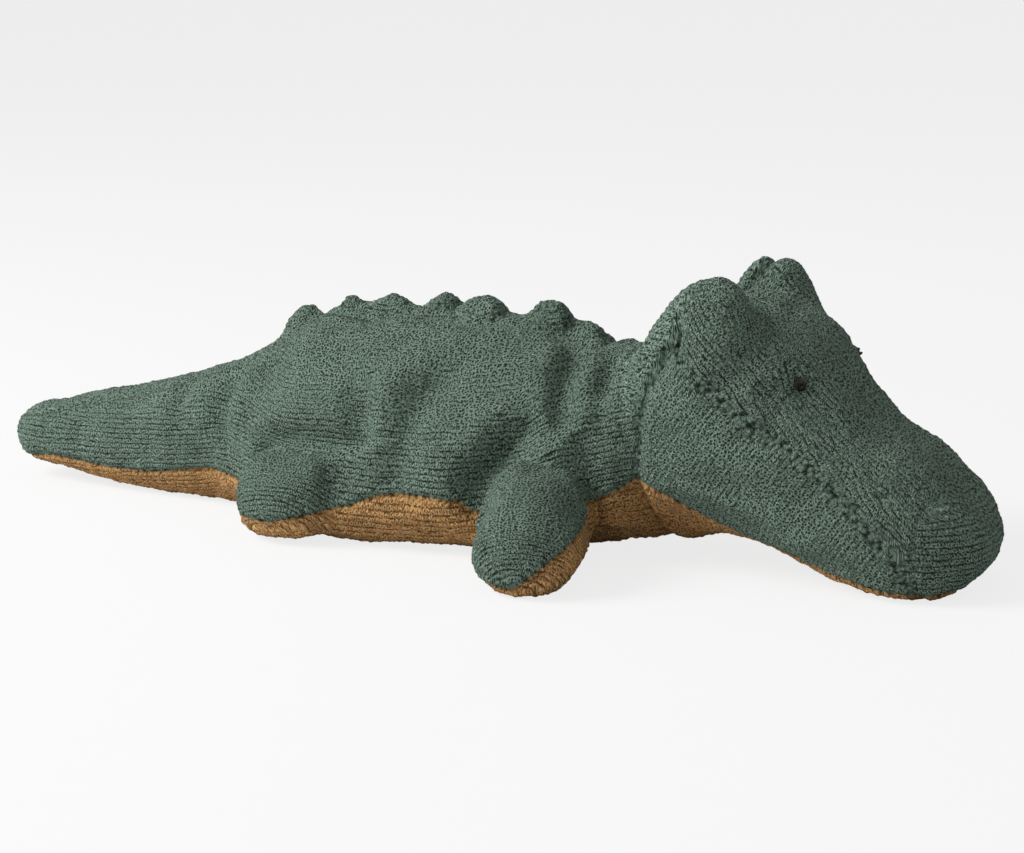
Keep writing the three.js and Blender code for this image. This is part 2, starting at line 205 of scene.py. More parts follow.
def object_of(name: str, data: bpy.types.ID) -> bpy.types.Object:
    """Puts a mesh, a light or a camera in the scene.

    Args:
        name: The object's name.
        data: Its mesh, light or camera.

    Returns:
        The object.
    """
    made = bpy.data.objects.new(name, data)
    bpy.context.scene.collection.objects.link(made)
    return made


def points_of(mesh: bpy.types.Mesh) -> np.ndarray:
    """Reads the points of a mesh.

    Args:
        mesh: The mesh.

    Returns:
        One row for each point.
    """
    flat = np.zeros(len(mesh.vertices) * 3, np.float32)
    mesh.vertices.foreach_get("co", flat)
    return flat.reshape(-1, 3).astype(float)


def place_points(mesh: bpy.types.Mesh, points: np.ndarray) -> None:
    """Moves the points of a mesh to new places."""
    mesh.vertices.foreach_set("co", points.astype(np.float32).ravel())
    mesh.update()


def quads_of(mesh: bpy.types.Mesh) -> np.ndarray:
    """Reads the faces of a mesh of four-cornered faces.

    Args:
        mesh: The mesh.

    Returns:
        One row of point numbers for each face.
    """
    corners = np.zeros(len(mesh.loops), np.int32)
    mesh.loops.foreach_get("vertex_index", corners)
    return corners.reshape(-1, 4)


def evaluated(piece: bpy.types.Object) -> bpy.types.Mesh:
    """A copy of an object's mesh with its modifiers applied."""
    graph = bpy.context.evaluated_depsgraph_get()
    return bpy.data.meshes.new_from_object(piece.evaluated_get(graph))


def normals_of(points: np.ndarray, quads: np.ndarray) -> np.ndarray:
    """Works out the unit normals at the points of a mesh of four-cornered faces.

    Args:
        points: The mesh's points.
        quads: Its faces as rows of point numbers.

    Returns:
        One normal for each point.
    """
    a, b, c, d = (points[quads[:, i]] for i in range(4))
    across = np.cross(c - a, d - b)
    total = np.zeros_like(points)
    for i in range(4):
        for axis in range(3):
            total[:, axis] += np.bincount(quads[:, i], across[:, axis], len(points))
    return total / np.maximum(np.linalg.norm(total, axis=1), 1e-12)[:, None]


@dataclass(frozen=True)
class StuffedForm:
    """A form that swells and tapers along its own X axis.

    Attributes:
        stations: Rows of place, half width, top, widest height, bottom and roundness below the
            widest height: 2 is an ellipse, more is squarer, less is more pointed.
        upper: Roundness above the widest height.
        start_round: How far the form rounds off at its first station.
        end_round: How far it rounds off at its last station.
    """

    stations: tuple[tuple[float, float, float, float, float, float], ...]
    upper: float
    start_round: float = 0.0
    end_round: float = 0.0

    def loft(self, step: float = 2.0, sides: int = 64) -> Form:
        """Builds the closed form.

        Args:
            step: The distance between rings.
            sides: How many sides a ring has.

        Returns:
            The points, and the faces as tuples of point numbers.
        """
        rows = np.array(self.stations)
        first, last = rows[0, 0], rows[-1, 0]
        places = np.linspace(first, last, max(2, math.ceil((last - first) / step)) + 1)
        for edge, reach, way in ((first, self.start_round, 1), (last, self.end_round, -1)):
            if reach:
                turns = np.linspace(0.06, math.pi / 2, 12)
                places = places[(places - edge) * way > reach * 0.999]
                places = np.concatenate([places, edge + way * reach * (1 - np.cos(turns))])
        places = np.unique(places.round(4))
        width, top, waist, bottom, lower = curve_through(rows, places).T
        inside = np.ones(len(places))
        for edge, reach in ((first, self.start_round), (last, self.end_round)):
            if reach:
                past = np.clip(1 - np.abs(places - edge) / reach, 0, 1)
                inside *= np.sqrt(1 - past**2)
        angle = np.linspace(0, 2 * math.pi, sides, endpoint=False)
        across, up = np.cos(angle), np.sin(angle)
        power = np.where(up >= 0, self.upper, lower[:, None])
        y = np.sign(across) * np.abs(across) ** (2 / power)
        z = np.sign(up) * np.abs(up) ** (2 / power)
        rise = np.where(up >= 0, (top - waist)[:, None], (waist - bottom)[:, None])
        rings = np.stack([
            np.repeat(places[:, None], sides, 1),
            (width * inside)[:, None] * y,
            waist[:, None] + rise * z * inside[:, None],
        ], axis=-1)
        faces = ring_faces(len(places), sides)
        faces.append(tuple(reversed(range(sides))))
        faces.append(tuple(range((len(places) - 1) * sides, len(places) * sides)))
        return rings.reshape(-1, 3), faces


def ball(centre: Place, radii: Place, lean: float = 0.0) -> Form:
    """Builds a closed ellipsoid that may lean over about X.

    Args:
        centre: Its centre.
        radii: Its half lengths.
        lean: How far it leans, in degrees, to the left.

    Returns:
        The points, and the faces as tuples of point numbers.
    """
    rings, sides = 14, 28
    points = [(0.0, 0.0, 1.0)]
    for i in range(1, rings):
        down = math.pi * i / rings
        for j in range(sides):
            turn = 2 * math.pi * j / sides
            points.append((
                math.sin(down) * math.cos(turn), math.sin(down) * math.sin(turn), math.cos(down),
            ))
    points.append((0.0, 0.0, -1.0))
    faces: list[tuple[int, ...]] = []
    last = len(points) - 1
    for j in range(sides):
        k = (j + 1) % sides
        faces.append((0, 1 + j, 1 + k))
        faces.append((last, last - sides + k, last - sides + j))
        for i in range(rings - 2):
            a = 1 + i * sides
            faces.append((a + j, a + sides + j, a + sides + k, a + k))
    placed = np.array(points) * np.array(radii)
    c, s = math.cos(math.radians(lean)), math.sin(math.radians(lean))
    y, z = placed[:, 1].copy(), placed[:, 2].copy()
    placed[:, 1], placed[:, 2] = y * c - z * s, y * s + z * c
    return placed + np.array(centre), faces


@dataclass(frozen=True)
class Turned:
    """A frame turned about a vertical line.

    Attributes:
        x: The line's place along the spine.
        y: The line's place to the left.
        degrees: How far the frame's own X axis is turned to the left.
    """

    x: float
    y: float
    degrees: float

    def out(self, points: np.ndarray) -> np.ndarray:
        """Moves points from this frame to the toy's frame.

        Args:
            points: The points here.

        Returns:
            The points there.
        """
        c, s = math.cos(math.radians(self.degrees)), math.sin(math.radians(self.degrees))
        x, y, z = points.T
        return np.stack([self.x + c * x - s * y, self.y + s * x + c * y, z], axis=1)

    def into(self, points: np.ndarray) -> np.ndarray:
        """Moves points from the toy's frame to this frame."""
        return self.turn_into(points - np.array([self.x, self.y, 0.0]))

    def turn_into(self, ways: np.ndarray) -> np.ndarray:
        """Turns directions from the toy's frame to this frame.

        Args:
            ways: The directions there.

        Returns:
            The directions here.
        """
        c, s = math.cos(math.radians(self.degrees)), math.sin(math.radians(self.degrees))
        x, y, z = ways.T
        return np.stack([c * x + s * y, c * y - s * x, z], axis=1)


@dataclass(frozen=True)
class Crease:
    """A soft valley that the stuffing leaves in the cloth, with a swell beside it.

    Attributes:
        path: The points that the valley runs through, in the toy's frame.
        width: Half the width of the valley.
        depth: How deep it is.
        swell: How high the cloth rises beside it, as a share of the depth.
    """

    path: tuple[Place, ...]
    width: float
    depth: float
    swell: float = 0.35

    def push(self, points: np.ndarray) -> np.ndarray:
        """Works out how far the crease moves points outwards.

        Args:
            points: Points of the skin.

        Returns:
            One distance for each point.
        """
        nearest = np.full(len(points), 1e9)
        fade = np.ones(len(points))
        corners = np.array(self.path, float)
        for i, (a, b) in enumerate(zip(corners, corners[1:])):
            along = (b - a) / np.dot(b - a, b - a)
            share = np.clip((points - a) @ along, 0, 1)
            gap = np.linalg.norm(points - a - share[:, None] * (b - a), axis=1)
            closer = gap < nearest
            nearest = np.where(closer, gap, nearest)
            run = (i + share) / (len(corners) - 1)
            fade = np.where(closer, np.sqrt(np.clip(4 * run * (1 - run), 0, 1)), fade)
        near = nearest / self.width
        valley = -np.exp(-near**2)
        bank = self.swell * np.exp(-((near - 2.0) ** 2))
        return self.depth * (valley + bank) * (0.15 + 0.85 * fade)


@dataclass(frozen=True)
class Groove:
    """The groove that a seam leaves in the cloth, with a swell beside it.

    Attributes:
        depth: How deep the groove is.
        width: Half its width.
        swell: How high the cloth rises beside it, on the side where distances are positive.
        offset: How far from the seam the swell is highest.
        spread: Half the width of the swell.
    """

    depth: float
    width: float
    swell: float = 0.0
    offset: float = 0.0
    spread: float = 1.0

    def push(self, gap: np.ndarray) -> np.ndarray:
        """Works out how far the seam moves points outwards.

        Args:
            gap: How far each point lies from the seam.

        Returns:
            One distance for each point.
        """
        valley = -self.depth * np.exp(-(gap / self.width) ** 2)
        return valley + self.swell * np.exp(-((gap - self.offset) / self.spread) ** 2)


class Grain(Enum):
    """The noises that keep the cloth from being even: each one's size and seed."""

    LARGE_LUMPS = (26.0, 1.0)
    LUMPS = (11.0, 2.0)
    SMALL_LUMPS = (4.5, 3.0)
    SCUTES = (5.5, 4.0)
    LOOPS = (1.5, 5.0)
    FUZZ = (2.2, 6.0)
    ROWS = (14.0, 7.0)
    TUFTS = (7.0, 8.0)

    def at(self, points: np.ndarray) -> np.ndarray:
        """Its value from -1 to 1 at each point."""
        return soft_noise(points, *self.value)


def surface_distance(height: Measure, points: np.ndarray, normals: np.ndarray) -> np.ndarray:
    """How far points lie from a line drawn on the skin, measured along the skin.

    Args:
        height: A function of points that is 0 on the line and changes sign across it.
        points: Points of the skin.
        normals: The skin's unit normals there.

    Returns:
        The signed distance of each point.
    """
    step = 0.5
    slope = np.stack([
        (height(points + step * axis) - height(points - step * axis)) / (2 * step)
        for axis in np.eye(3)
    ], axis=1)
    slope -= np.sum(slope * normals, axis=1)[:, None] * normals
    return height(points) / np.maximum(np.linalg.norm(slope, axis=1), 0.35)


class Panel(Enum):
    """The cloth that a piece is cut from."""

    GREEN = "green_terry"
    OCHRE = "ochre_terry"


Value = bpy.types.NodeSocket | float


class Nodes:
    """Builds the node tree of a material or of the world."""

    def __init__(self, owner: bpy.types.Material | bpy.types.World) -> None:
        """Empties the owner's node tree.

        Args:
            owner: The material or world that the nodes are for.
        """
        owner.use_nodes = True
        self.owner = owner
        self.tree = owner.node_tree
        self.tree.nodes.clear()

    def add(self, kind: str, inputs: dict | None = None, **settings: str | bool) -> bpy.types.Node:
        """Adds a node.

        Args:
            kind: The node's type.
            inputs: Numbers, colours or other nodes' sockets for its inputs.
            settings: Its own settings.

        Returns:
            The node.
        """
        node = self.tree.nodes.new(kind)
        for key, value in settings.items():
            setattr(node, key, value)
        for key, value in (inputs or {}).items():
            if isinstance(value, bpy.types.NodeSocket):
                self.tree.links.new(value, node.inputs[key])
            else:
                node.inputs[key].default_value = value
        return node

    def maths(self, operation: str, first: Value, second: Value = 0.0,
              third: Value = 0.0) -> bpy.types.NodeSocket:
        """Adds a sum of numbers or sockets, and gives its result."""
        inputs = dict(enumerate((first, second, third)))
        return self.add("ShaderNodeMath", inputs, operation=operation).outputs[0]

    def vector(self, operation: str, inputs: dict) -> bpy.types.NodeSocket:
        """Adds a sum of vectors, and gives its result."""
        return self.add("ShaderNodeVectorMath", inputs, operation=operation).outputs[0]

    def between(self, value: Value, low: float, high: float, start: float = 0.0,
                end: float = 1.0) -> bpy.types.NodeSocket:
        """Takes a value that runs from low to high to one from start to end."""
        inputs = {"Value": value, "From Min": low, "From Max": high, "To Min": start, "To Max": end}
        return self.add("ShaderNodeMapRange", inputs, clamp=True).outputs["Result"]

    def noise(self, place: bpy.types.NodeSocket, size: float, detail: float) -> bpy.types.Node:
        """Adds a noise whose spots are of the size given."""
        inputs = {"Vector": place, "Scale": 1 / size, "Detail": detail}
        return self.add("ShaderNodeTexNoise", inputs)

    def cells(self, place: bpy.types.NodeSocket, scale: float,
              randomness: float) -> bpy.types.NodeSocket:
        """Adds flat cells.

        Args:
            place: Where on the cloth a point is.
            scale: How many cells there are in one unit of place.
            randomness: How far the cells stray from a grid, from 0 to 1.

        Returns:
            The distance from the middle of the nearest cell.
        """
        inputs = {"Vector": place, "Scale": scale, "Randomness": randomness}
        cells = self.add("ShaderNodeTexVoronoi", inputs, voronoi_dimensions="2D")
        return cells.outputs["Distance"]

    def blended(self, first: Value, second: Value, share: Value) -> bpy.types.NodeSocket:
        """Goes from the first value to the second as the share goes from 0 to 1."""
        return self.maths("MULTIPLY_ADD", share, self.maths("SUBTRACT", second, first), first)

    def ramp(self, share: Value, stops: dict[float, Colour]) -> bpy.types.NodeSocket:
        """Adds a ramp of colours.

        Args:
            share: Where on the ramp a point is, from 0 to 1.
            stops: The colour at 0, at 1 and at any places between them.

        Returns:
            The colour.
        """
        node = self.add("ShaderNodeValToRGB", {"Fac": share})
        elements = node.color_ramp.elements
        elements[0].color, elements[1].color = stops.pop(0.0), stops.pop(1.0)
        for place, colour in stops.items():
            elements.new(place).color = colour
        return node.outputs["Color"]

    def bump(self, height: Value, strength: float, distance: float) -> bpy.types.NodeSocket:
        """Adds a bump that is so many metres high, and gives its normals."""
        inputs = {"Strength": strength, "Distance": distance, "Height": height}
        return self.add("ShaderNodeBump", inputs).outputs["Normal"]

    def surface(self, inputs: dict) -> bpy.types.Material:
        """Ends a material with a principled surface.

        Args:
            inputs: Numbers, colours or other nodes' sockets for the surface.

        Returns:
            The material.
        """
        shader = self.add("ShaderNodeBsdfPrincipled", inputs).outputs["BSDF"]
        self.add("ShaderNodeOutputMaterial", {"Surface": shader})
        return self.owner


@dataclass(frozen=True)
class TerryFinish:
    """Looped terry cloth: rows of small curled loops with a pit in each, darkened with painted
    shade.

    Attributes:
        name: The material's name.
        loop: Colour of the loops.
        gap: Painted shade: the colour in the pits and between the rows.
        lit_tips: Painted highlight: the colour of the loops' tips.
        row_pitch: Distance between rows, in millimetres.
        loop_pitch: Distance between the loops in a row, in millimetres.
        wander_size: How far apart the bends of a row are, in millimetres.
        wander: How far a row strays, in millimetres.
        patch_size: Size of the lighter and darker patches, in millimetres.
        pit_pitch: Distance between the pits where the loops stand close, in millimetres.
        tuft_pitch: Distance between the tufts that stand out of a seam, in millimetres.
        break_size: Length of the dark stretches of painted shade between two rows, in millimetres.
        slant: How far a loop leans along its row, in loops.
        relief: Height of the bump, in metres.
        roughness: Roughness of the yarn.
        sheen: Weight of the soft gloss of the loops' tips.
    """

    name: str
    loop: Colour
    gap: Colour
    lit_tips: Colour
    row_pitch: float = 2.0
    loop_pitch: float = 1.25
    wander_size: float = 9.0
    wander: float = 1.6
    patch_size: float = 24.0
    pit_pitch: float = 1.15
    tuft_pitch: float = 1.6
    break_size: float = 3.0
    slant: float = 0.8
    relief: float = 0.0010
    roughness: float = 0.95
    sheen: float = 0.15

    def material(self) -> bpy.types.Material:
        """Builds the material.

        Returns:
            The material. It reads from the mesh how the rows lie, how near a seam is and where dark
            rows of painted shade show.
        """
        nodes = Nodes(bpy.data.materials.new(self.name))
        place = nodes.add("ShaderNodeAttribute", attribute_name="terry").outputs["Vector"]
        sewn = nodes.add("ShaderNodeAttribute", attribute_name="sewn").outputs["Fac"]
        row_shade = nodes.add("ShaderNodeAttribute", attribute_name="row_shade").outputs["Fac"]
        stray = nodes.noise(place, self.wander_size, 4.0).outputs["Color"]
        centred = nodes.vector("SUBTRACT", {0: stray, 1: (0.5, 0.5, 0.5)})
        shift = nodes.vector("SCALE", {0: centred, "Scale": self.wander})
        bent = nodes.vector("ADD", {0: place, 1: shift})
        pitch = (1 / self.loop_pitch, 1 / self.row_pitch, 1.0)
        beat = nodes.vector("MULTIPLY", {0: bent, 1: pitch})
        parts = nodes.add("ShaderNodeSeparateXYZ", {0: beat})
        along, lane = parts.outputs["X"], parts.outputs["Y"]

        # Loops that lean along their row, and the strands of yarn in them.
        lean = nodes.noise(place, self.patch_size, 1.0).outputs["Fac"]
        leant = nodes.maths("MULTIPLY_ADD", nodes.maths("FRACT", lane),
                            nodes.between(lean, 0.4, 0.6, -self.slant, self.slant), along)
        cell = nodes.add("ShaderNodeCombineXYZ", {0: leant, 1: lane}).outputs[0]
        loops = nodes.cells(cell, 1.0, 0.7)
        strand = nodes.between(nodes.cells(cell, 3.1, 1.0), 0.0, 0.8, 0.26, -0.28)

        # Where the rows of painted shade show: rings of loops between broken furrows darkened with
        # painted shade.
        row = nodes.maths("ABSOLUTE", nodes.maths("SINE", nodes.maths("MULTIPLY", lane, math.pi)))
        broken = nodes.noise(place, self.break_size, 1.0).outputs["Fac"]
        furrow = nodes.maths("MULTIPLY", nodes.between(row, 0.06, 0.55, 0.95, 0.0),
                             nodes.between(broken, 0.40, 0.56, 0.35, 1.0))
        rim = nodes.maths("MULTIPLY", nodes.between(loops, 0.14, 0.34, 0.0, 1.15),
                          nodes.between(loops, 0.38, 0.60, 1.0, 0.20))
        ringed = nodes.maths("SUBTRACT", rim, furrow)

        # Where the loops stand close: pits darkened with painted shade. Beside the seams: tufts,
        # with painted shade between them.
        pits = nodes.cells(bent, 1 / self.pit_pitch, 0.75)
        pitted = nodes.maths("MULTIPLY", nodes.between(pits, 0.17, 0.47, -0.15, 1.0),
                             nodes.between(pits, 0.52, 0.80, 1.0, 0.45))
        tufted = nodes.between(nodes.cells(bent, 1 / self.tuft_pitch, 1.0), 0.15, 0.75, 1.10, -0.10)
        spread = nodes.noise(place, self.wander_size, 2.0).outputs["Fac"]
        patchy = nodes.maths("MULTIPLY", nodes.between(spread, 0.36, 0.56, 0.35, 1.0), row_shade)
        even = nodes.blended(pitted, ringed, nodes.between(patchy, 0.05, 0.60, 0.1, 1.0))
        loose = nodes.blended(even, tufted, nodes.between(sewn, 0.10, 0.60, 0.0, 0.85))
        height = nodes.maths("ADD", loose, strand)

        # A random tone in patches, times painted shade that darkens the cloth near the seams and on
        # the scallops.
        patch = nodes.noise(place, self.patch_size, 3.0).outputs["Fac"]
        shade = nodes.maths("MULTIPLY", nodes.between(patch, 0.3, 0.7, 0.88, 1.12),
                            nodes.between(sewn, 0.0, 1.0, 1.0, 0.55))
        # The colour follows the loops' height: painted shade in the low places, the pits and
        # furrows, and a painted highlight on the tips.
        stops = {0.0: self.gap, 1.0: self.lit_tips, 0.55: self.loop}
        colour = nodes.ramp(nodes.between(height, 0.0, 1.1), stops)
        return nodes.surface({
            "Base Color": nodes.vector("SCALE", {0: colour, "Scale": shade}),
            "Normal": nodes.bump(height, 1.0, self.relief), "Roughness": self.roughness,
            "Specular IOR Level": 0.15, "Sheen Weight": self.sheen, "Sheen Roughness": 0.5,
            "Sheen Tint": self.lit_tips,
        })

    def relief_at(self, along: np.ndarray, across: np.ndarray) -> np.ndarray:
        """Works out how far the loops stand out.

        Args:
            along: Places along the rows, in millimetres.
            across: Places across the rows, in millimetres.

        Returns:
            One height for each place, from about -1 to 1.
        """
        lane = across / self.row_pitch
        row = np.floor(lane)
        beat = along / (1.5 * self.loop_pitch) + scatter(row)
        loop = np.floor(beat)
        side = 2 * (lane - row) - 1
        way = 2 * (beat - loop) - 1
        tall = 0.4 + 1.2 * scatter(row, loop)
        return tall * (1 - side**2) * (1 - 0.5 * way**2) * 1.5 - 0.6


# In each cloth the gap colour is painted shade and the tips' colour is a painted highlight; the
# loop colour is the yarn's own.
GREEN = TerryFinish(
    "green_terry", loop=(0.215, 0.318, 0.248, 1), gap=(0.016, 0.024, 0.018, 1),
    lit_tips=(0.45, 0.60, 0.49, 1),
)
OCHRE = TerryFinish(
    "ochre_terry", loop=(0.86, 0.460, 0.170, 1), gap=(0.20, 0.082, 0.022, 1),
    lit_tips=(1.00, 0.68, 0.34, 1),
)


@dataclass(frozen=True)
class ThreadFinish:
    """Twisted sewing thread.

    Attributes:
        name: The material's name.
        colour: Colour of the strands.
        shadow: Colour between them.
        twist: How close the strands lie, as the scale of their pattern.
    """

    name: str
    colour: Colour
    shadow: Colour
    twist: float = 1400.0

    def material(self) -> bpy.types.Material:
        """Builds the material.

        Returns:
            The material.
        """
        nodes = Nodes(bpy.data.materials.new(self.name))
        ply = nodes.add("ShaderNodeTexWave", {
            "Vector": nodes.add("ShaderNodeTexCoord").outputs["Object"], "Scale": self.twist,
            "Distortion": 3.0, "Detail": 2.0,
        }, wave_type="BANDS", bands_direction="DIAGONAL").outputs["Fac"]
        return nodes.surface({
            "Base Color": nodes.ramp(ply, {0.0: self.shadow, 1.0: self.colour}),
            "Normal": nodes.bump(ply, 0.6, 0.0001), "Roughness": 0.5, "Specular IOR Level": 0.3,
        })


WHITE = (1, 1, 1, 1)
BLACK_THREAD = ThreadFinish("black_thread", (0.012, 0.009, 0.014, 1), (0.002, 0.001, 0.002, 1))

CREASES = (
    Crease(((-129.0, -12.0, 49.0), (-132.0, -20.0, 39.0), (-130.0, -25.0, 26.0)), 4.5, 2.4),
    Crease(((-103.0, -16.0, 57.0), (-108.0, -26.0, 42.0), (-106.0, -30.0, 24.0)), 5.0, 3.0),
    Crease(((-83.0, -40.0, 27.0), (-79.0, -43.0, 33.0), (-65.0, -46.0, 38.5), (-50.0, -47.0, 36.0),
            (-43.0, -49.0, 25.0), (-42.0, -49.0, 10.0)), 4.4, 4.0),
    Crease(((-42.0, -40.0, 62.0), (-40.0, -46.0, 52.0), (-38.0, -49.0, 38.0),
            (-39.0, -50.0, 18.0)), 6.5, 4.6),
    Crease(((-8.0, -34.0, 68.0), (-14.0, -44.0, 54.0), (-18.0, -50.0, 36.0),
            (-20.0, -51.0, 24.0)), 7.0, 3.8),
    Crease(((30.0, -42.0, 54.0), (22.0, -47.0, 43.0), (13.0, -50.0, 31.0), (9.0, -50.0, 14.0)),
           5.6, 5.6),
    Crease(((44.0, -41.0, 48.0), (50.0, -43.0, 38.0), (54.0, -46.0, 28.0), (56.0, -50.0, 18.0)),
           4.4, 4.6),
    Crease(((33.0, -14.0, 75.0), (35.0, -32.0, 64.0), (39.0, -42.0, 48.0)), 4.2, 3.8),
    Crease(((46.0, -12.0, 75.0), (49.0, -28.0, 65.0), (53.0, -36.0, 46.0)), 3.4, 3.8),
    Crease(((57.0, -12.0, 76.0), (59.0, -28.0, 66.0), (61.0, -35.0, 46.0)), 3.0, 3.0),
)
"""Creases of the right side. The left side has the same ones mirrored."""

SIDES = {"right": -1, "left": 1}
"""Which way each side lies along Y."""
EYES = {"right": (119.2, -28.0, 68.6), "left": (122.5, 18.7, 72.0)}
"""Where each eye is sewn on."""

NECK_SEAM = np.array([
    (-5.0, 14.0), (20.0, 13.0), (33.4, 13.2), (43.7, 14.3), (54.0, 15.2), (64.8, 18.2),
    (72.3, 22.7), (77.9, 26.6), (83.0, 29.6), (90.7, 30.9), (95.2, 31.8), (99.4, 34.0),
    (104.0, 36.0), (110.0, 37.0),
])
"""Height, and how far ahead of the neck hinge the head is sewn on there."""
CHEEK_SEAM = np.array([
    (20.0, 90.0), (28.8, 81.0), (36.3, 72.0), (46.2, 65.0), (60.2, 54.0), (74.0, 47.0),
    (83.6, 38.0), (94.2, 28.5), (101.8, 20.6), (106.4, 15.0), (109.0, 10.0), (111.0, 2.0),
    (113.0, -20.0),
])
"""How far ahead of the neck hinge, and the height of the seam between snout and cheek there."""
JAW_SEAM = np.array([
    (0.0, 34.0), (14.4, 32.0), (28.4, 25.6), (38.0, 20.0), (48.0, 14.6), (57.0, 10.4), (66.0, 8.4),
    (76.0, 7.2), (89.2, 5.4), (108.0, 2.8), (125.0, 2.2), (140.0, 2.0),
])
"""How far ahead of the neck hinge, and the height of the seam between cheek and jaw there."""
BELLY_SEAM = np.array([
    (-221.0, 4.0), (-212.0, 8.0), (-205.0, 9.6), (-161.0, 9.8), (-146.0, 10.3), (-128.0, 13.3),
    (-119.0, 15.0), (-102.0, 14.4), (-60.0, 14.6), (-39.5, 15.6), (-27.0, 20.7), (-3.5, 22.2),
    (20.0, 20.5), (35.0, 21.0), (49.0, 24.0), (57.0, 27.5), (62.5, 31.5), (80.0, 34.0),
])
"""Place along the spine, and the height of the seam between back and belly there."""

COLOUR_GROOVE = Groove(depth=1.0, width=1.1, swell=0.35, offset=2.6, spread=1.6)
NECK_GROOVE = Groove(depth=1.9, width=2.2, swell=0.6, offset=6.0, spread=3.5)
CHEEK_GROOVE = Groove(depth=1.1, width=3.0)
EYE_DIMPLE = Groove(depth=1.3, width=3.6)
LUMPS = {Grain.LARGE_LUMPS: 0.9, Grain.LUMPS: 0.55, Grain.SMALL_LUMPS: 0.25}
"""How high each kind of lump of the stuffing is."""


@dataclass
class Skin:
    """The crocodile's whole skin, before it is cut into panels.

    Attributes:
        points: Its points in the toy's frame.
        quads: Its faces as rows of point numbers.
        rows: The place of each face's corners along and across the rows of the cloth.
        sewn: How near each point is to a seam or to a scallop's tufts, from 0 to 1; painted shade
            darkens it there.
        row_shade: How strongly dark rows of painted shade show at each point, from 0 to 1.
    """

    points: np.ndarray
    quads: np.ndarray
    rows: np.ndarray = field(default_factory=lambda: np.zeros((0, 3)))
    sewn: np.ndarray = field(default_factory=lambda: np.zeros(0))
    row_shade: np.ndarray = field(default_factory=lambda: np.zeros(0))

    @property
    def centres(self) -> np.ndarray:
        """The middle of each face."""
        return self.points[self.quads].mean(axis=1)

    def nearest(self, place: Place) -> tuple[np.ndarray, np.ndarray]:
        """Finds where a place lies on the skin.

        Args:
            place: The place.

        Returns:
            The point of the skin nearest to it, and the skin's mean normal round that point.
        """
        gap = np.linalg.norm(self.points - np.array(place), axis=1)
        normals = normals_of(self.points, self.quads)[gap < gap.min() + 2.5]
        normal = normals.mean(axis=0)
        return self.points[np.argmin(gap)], normal / np.linalg.norm(normal)


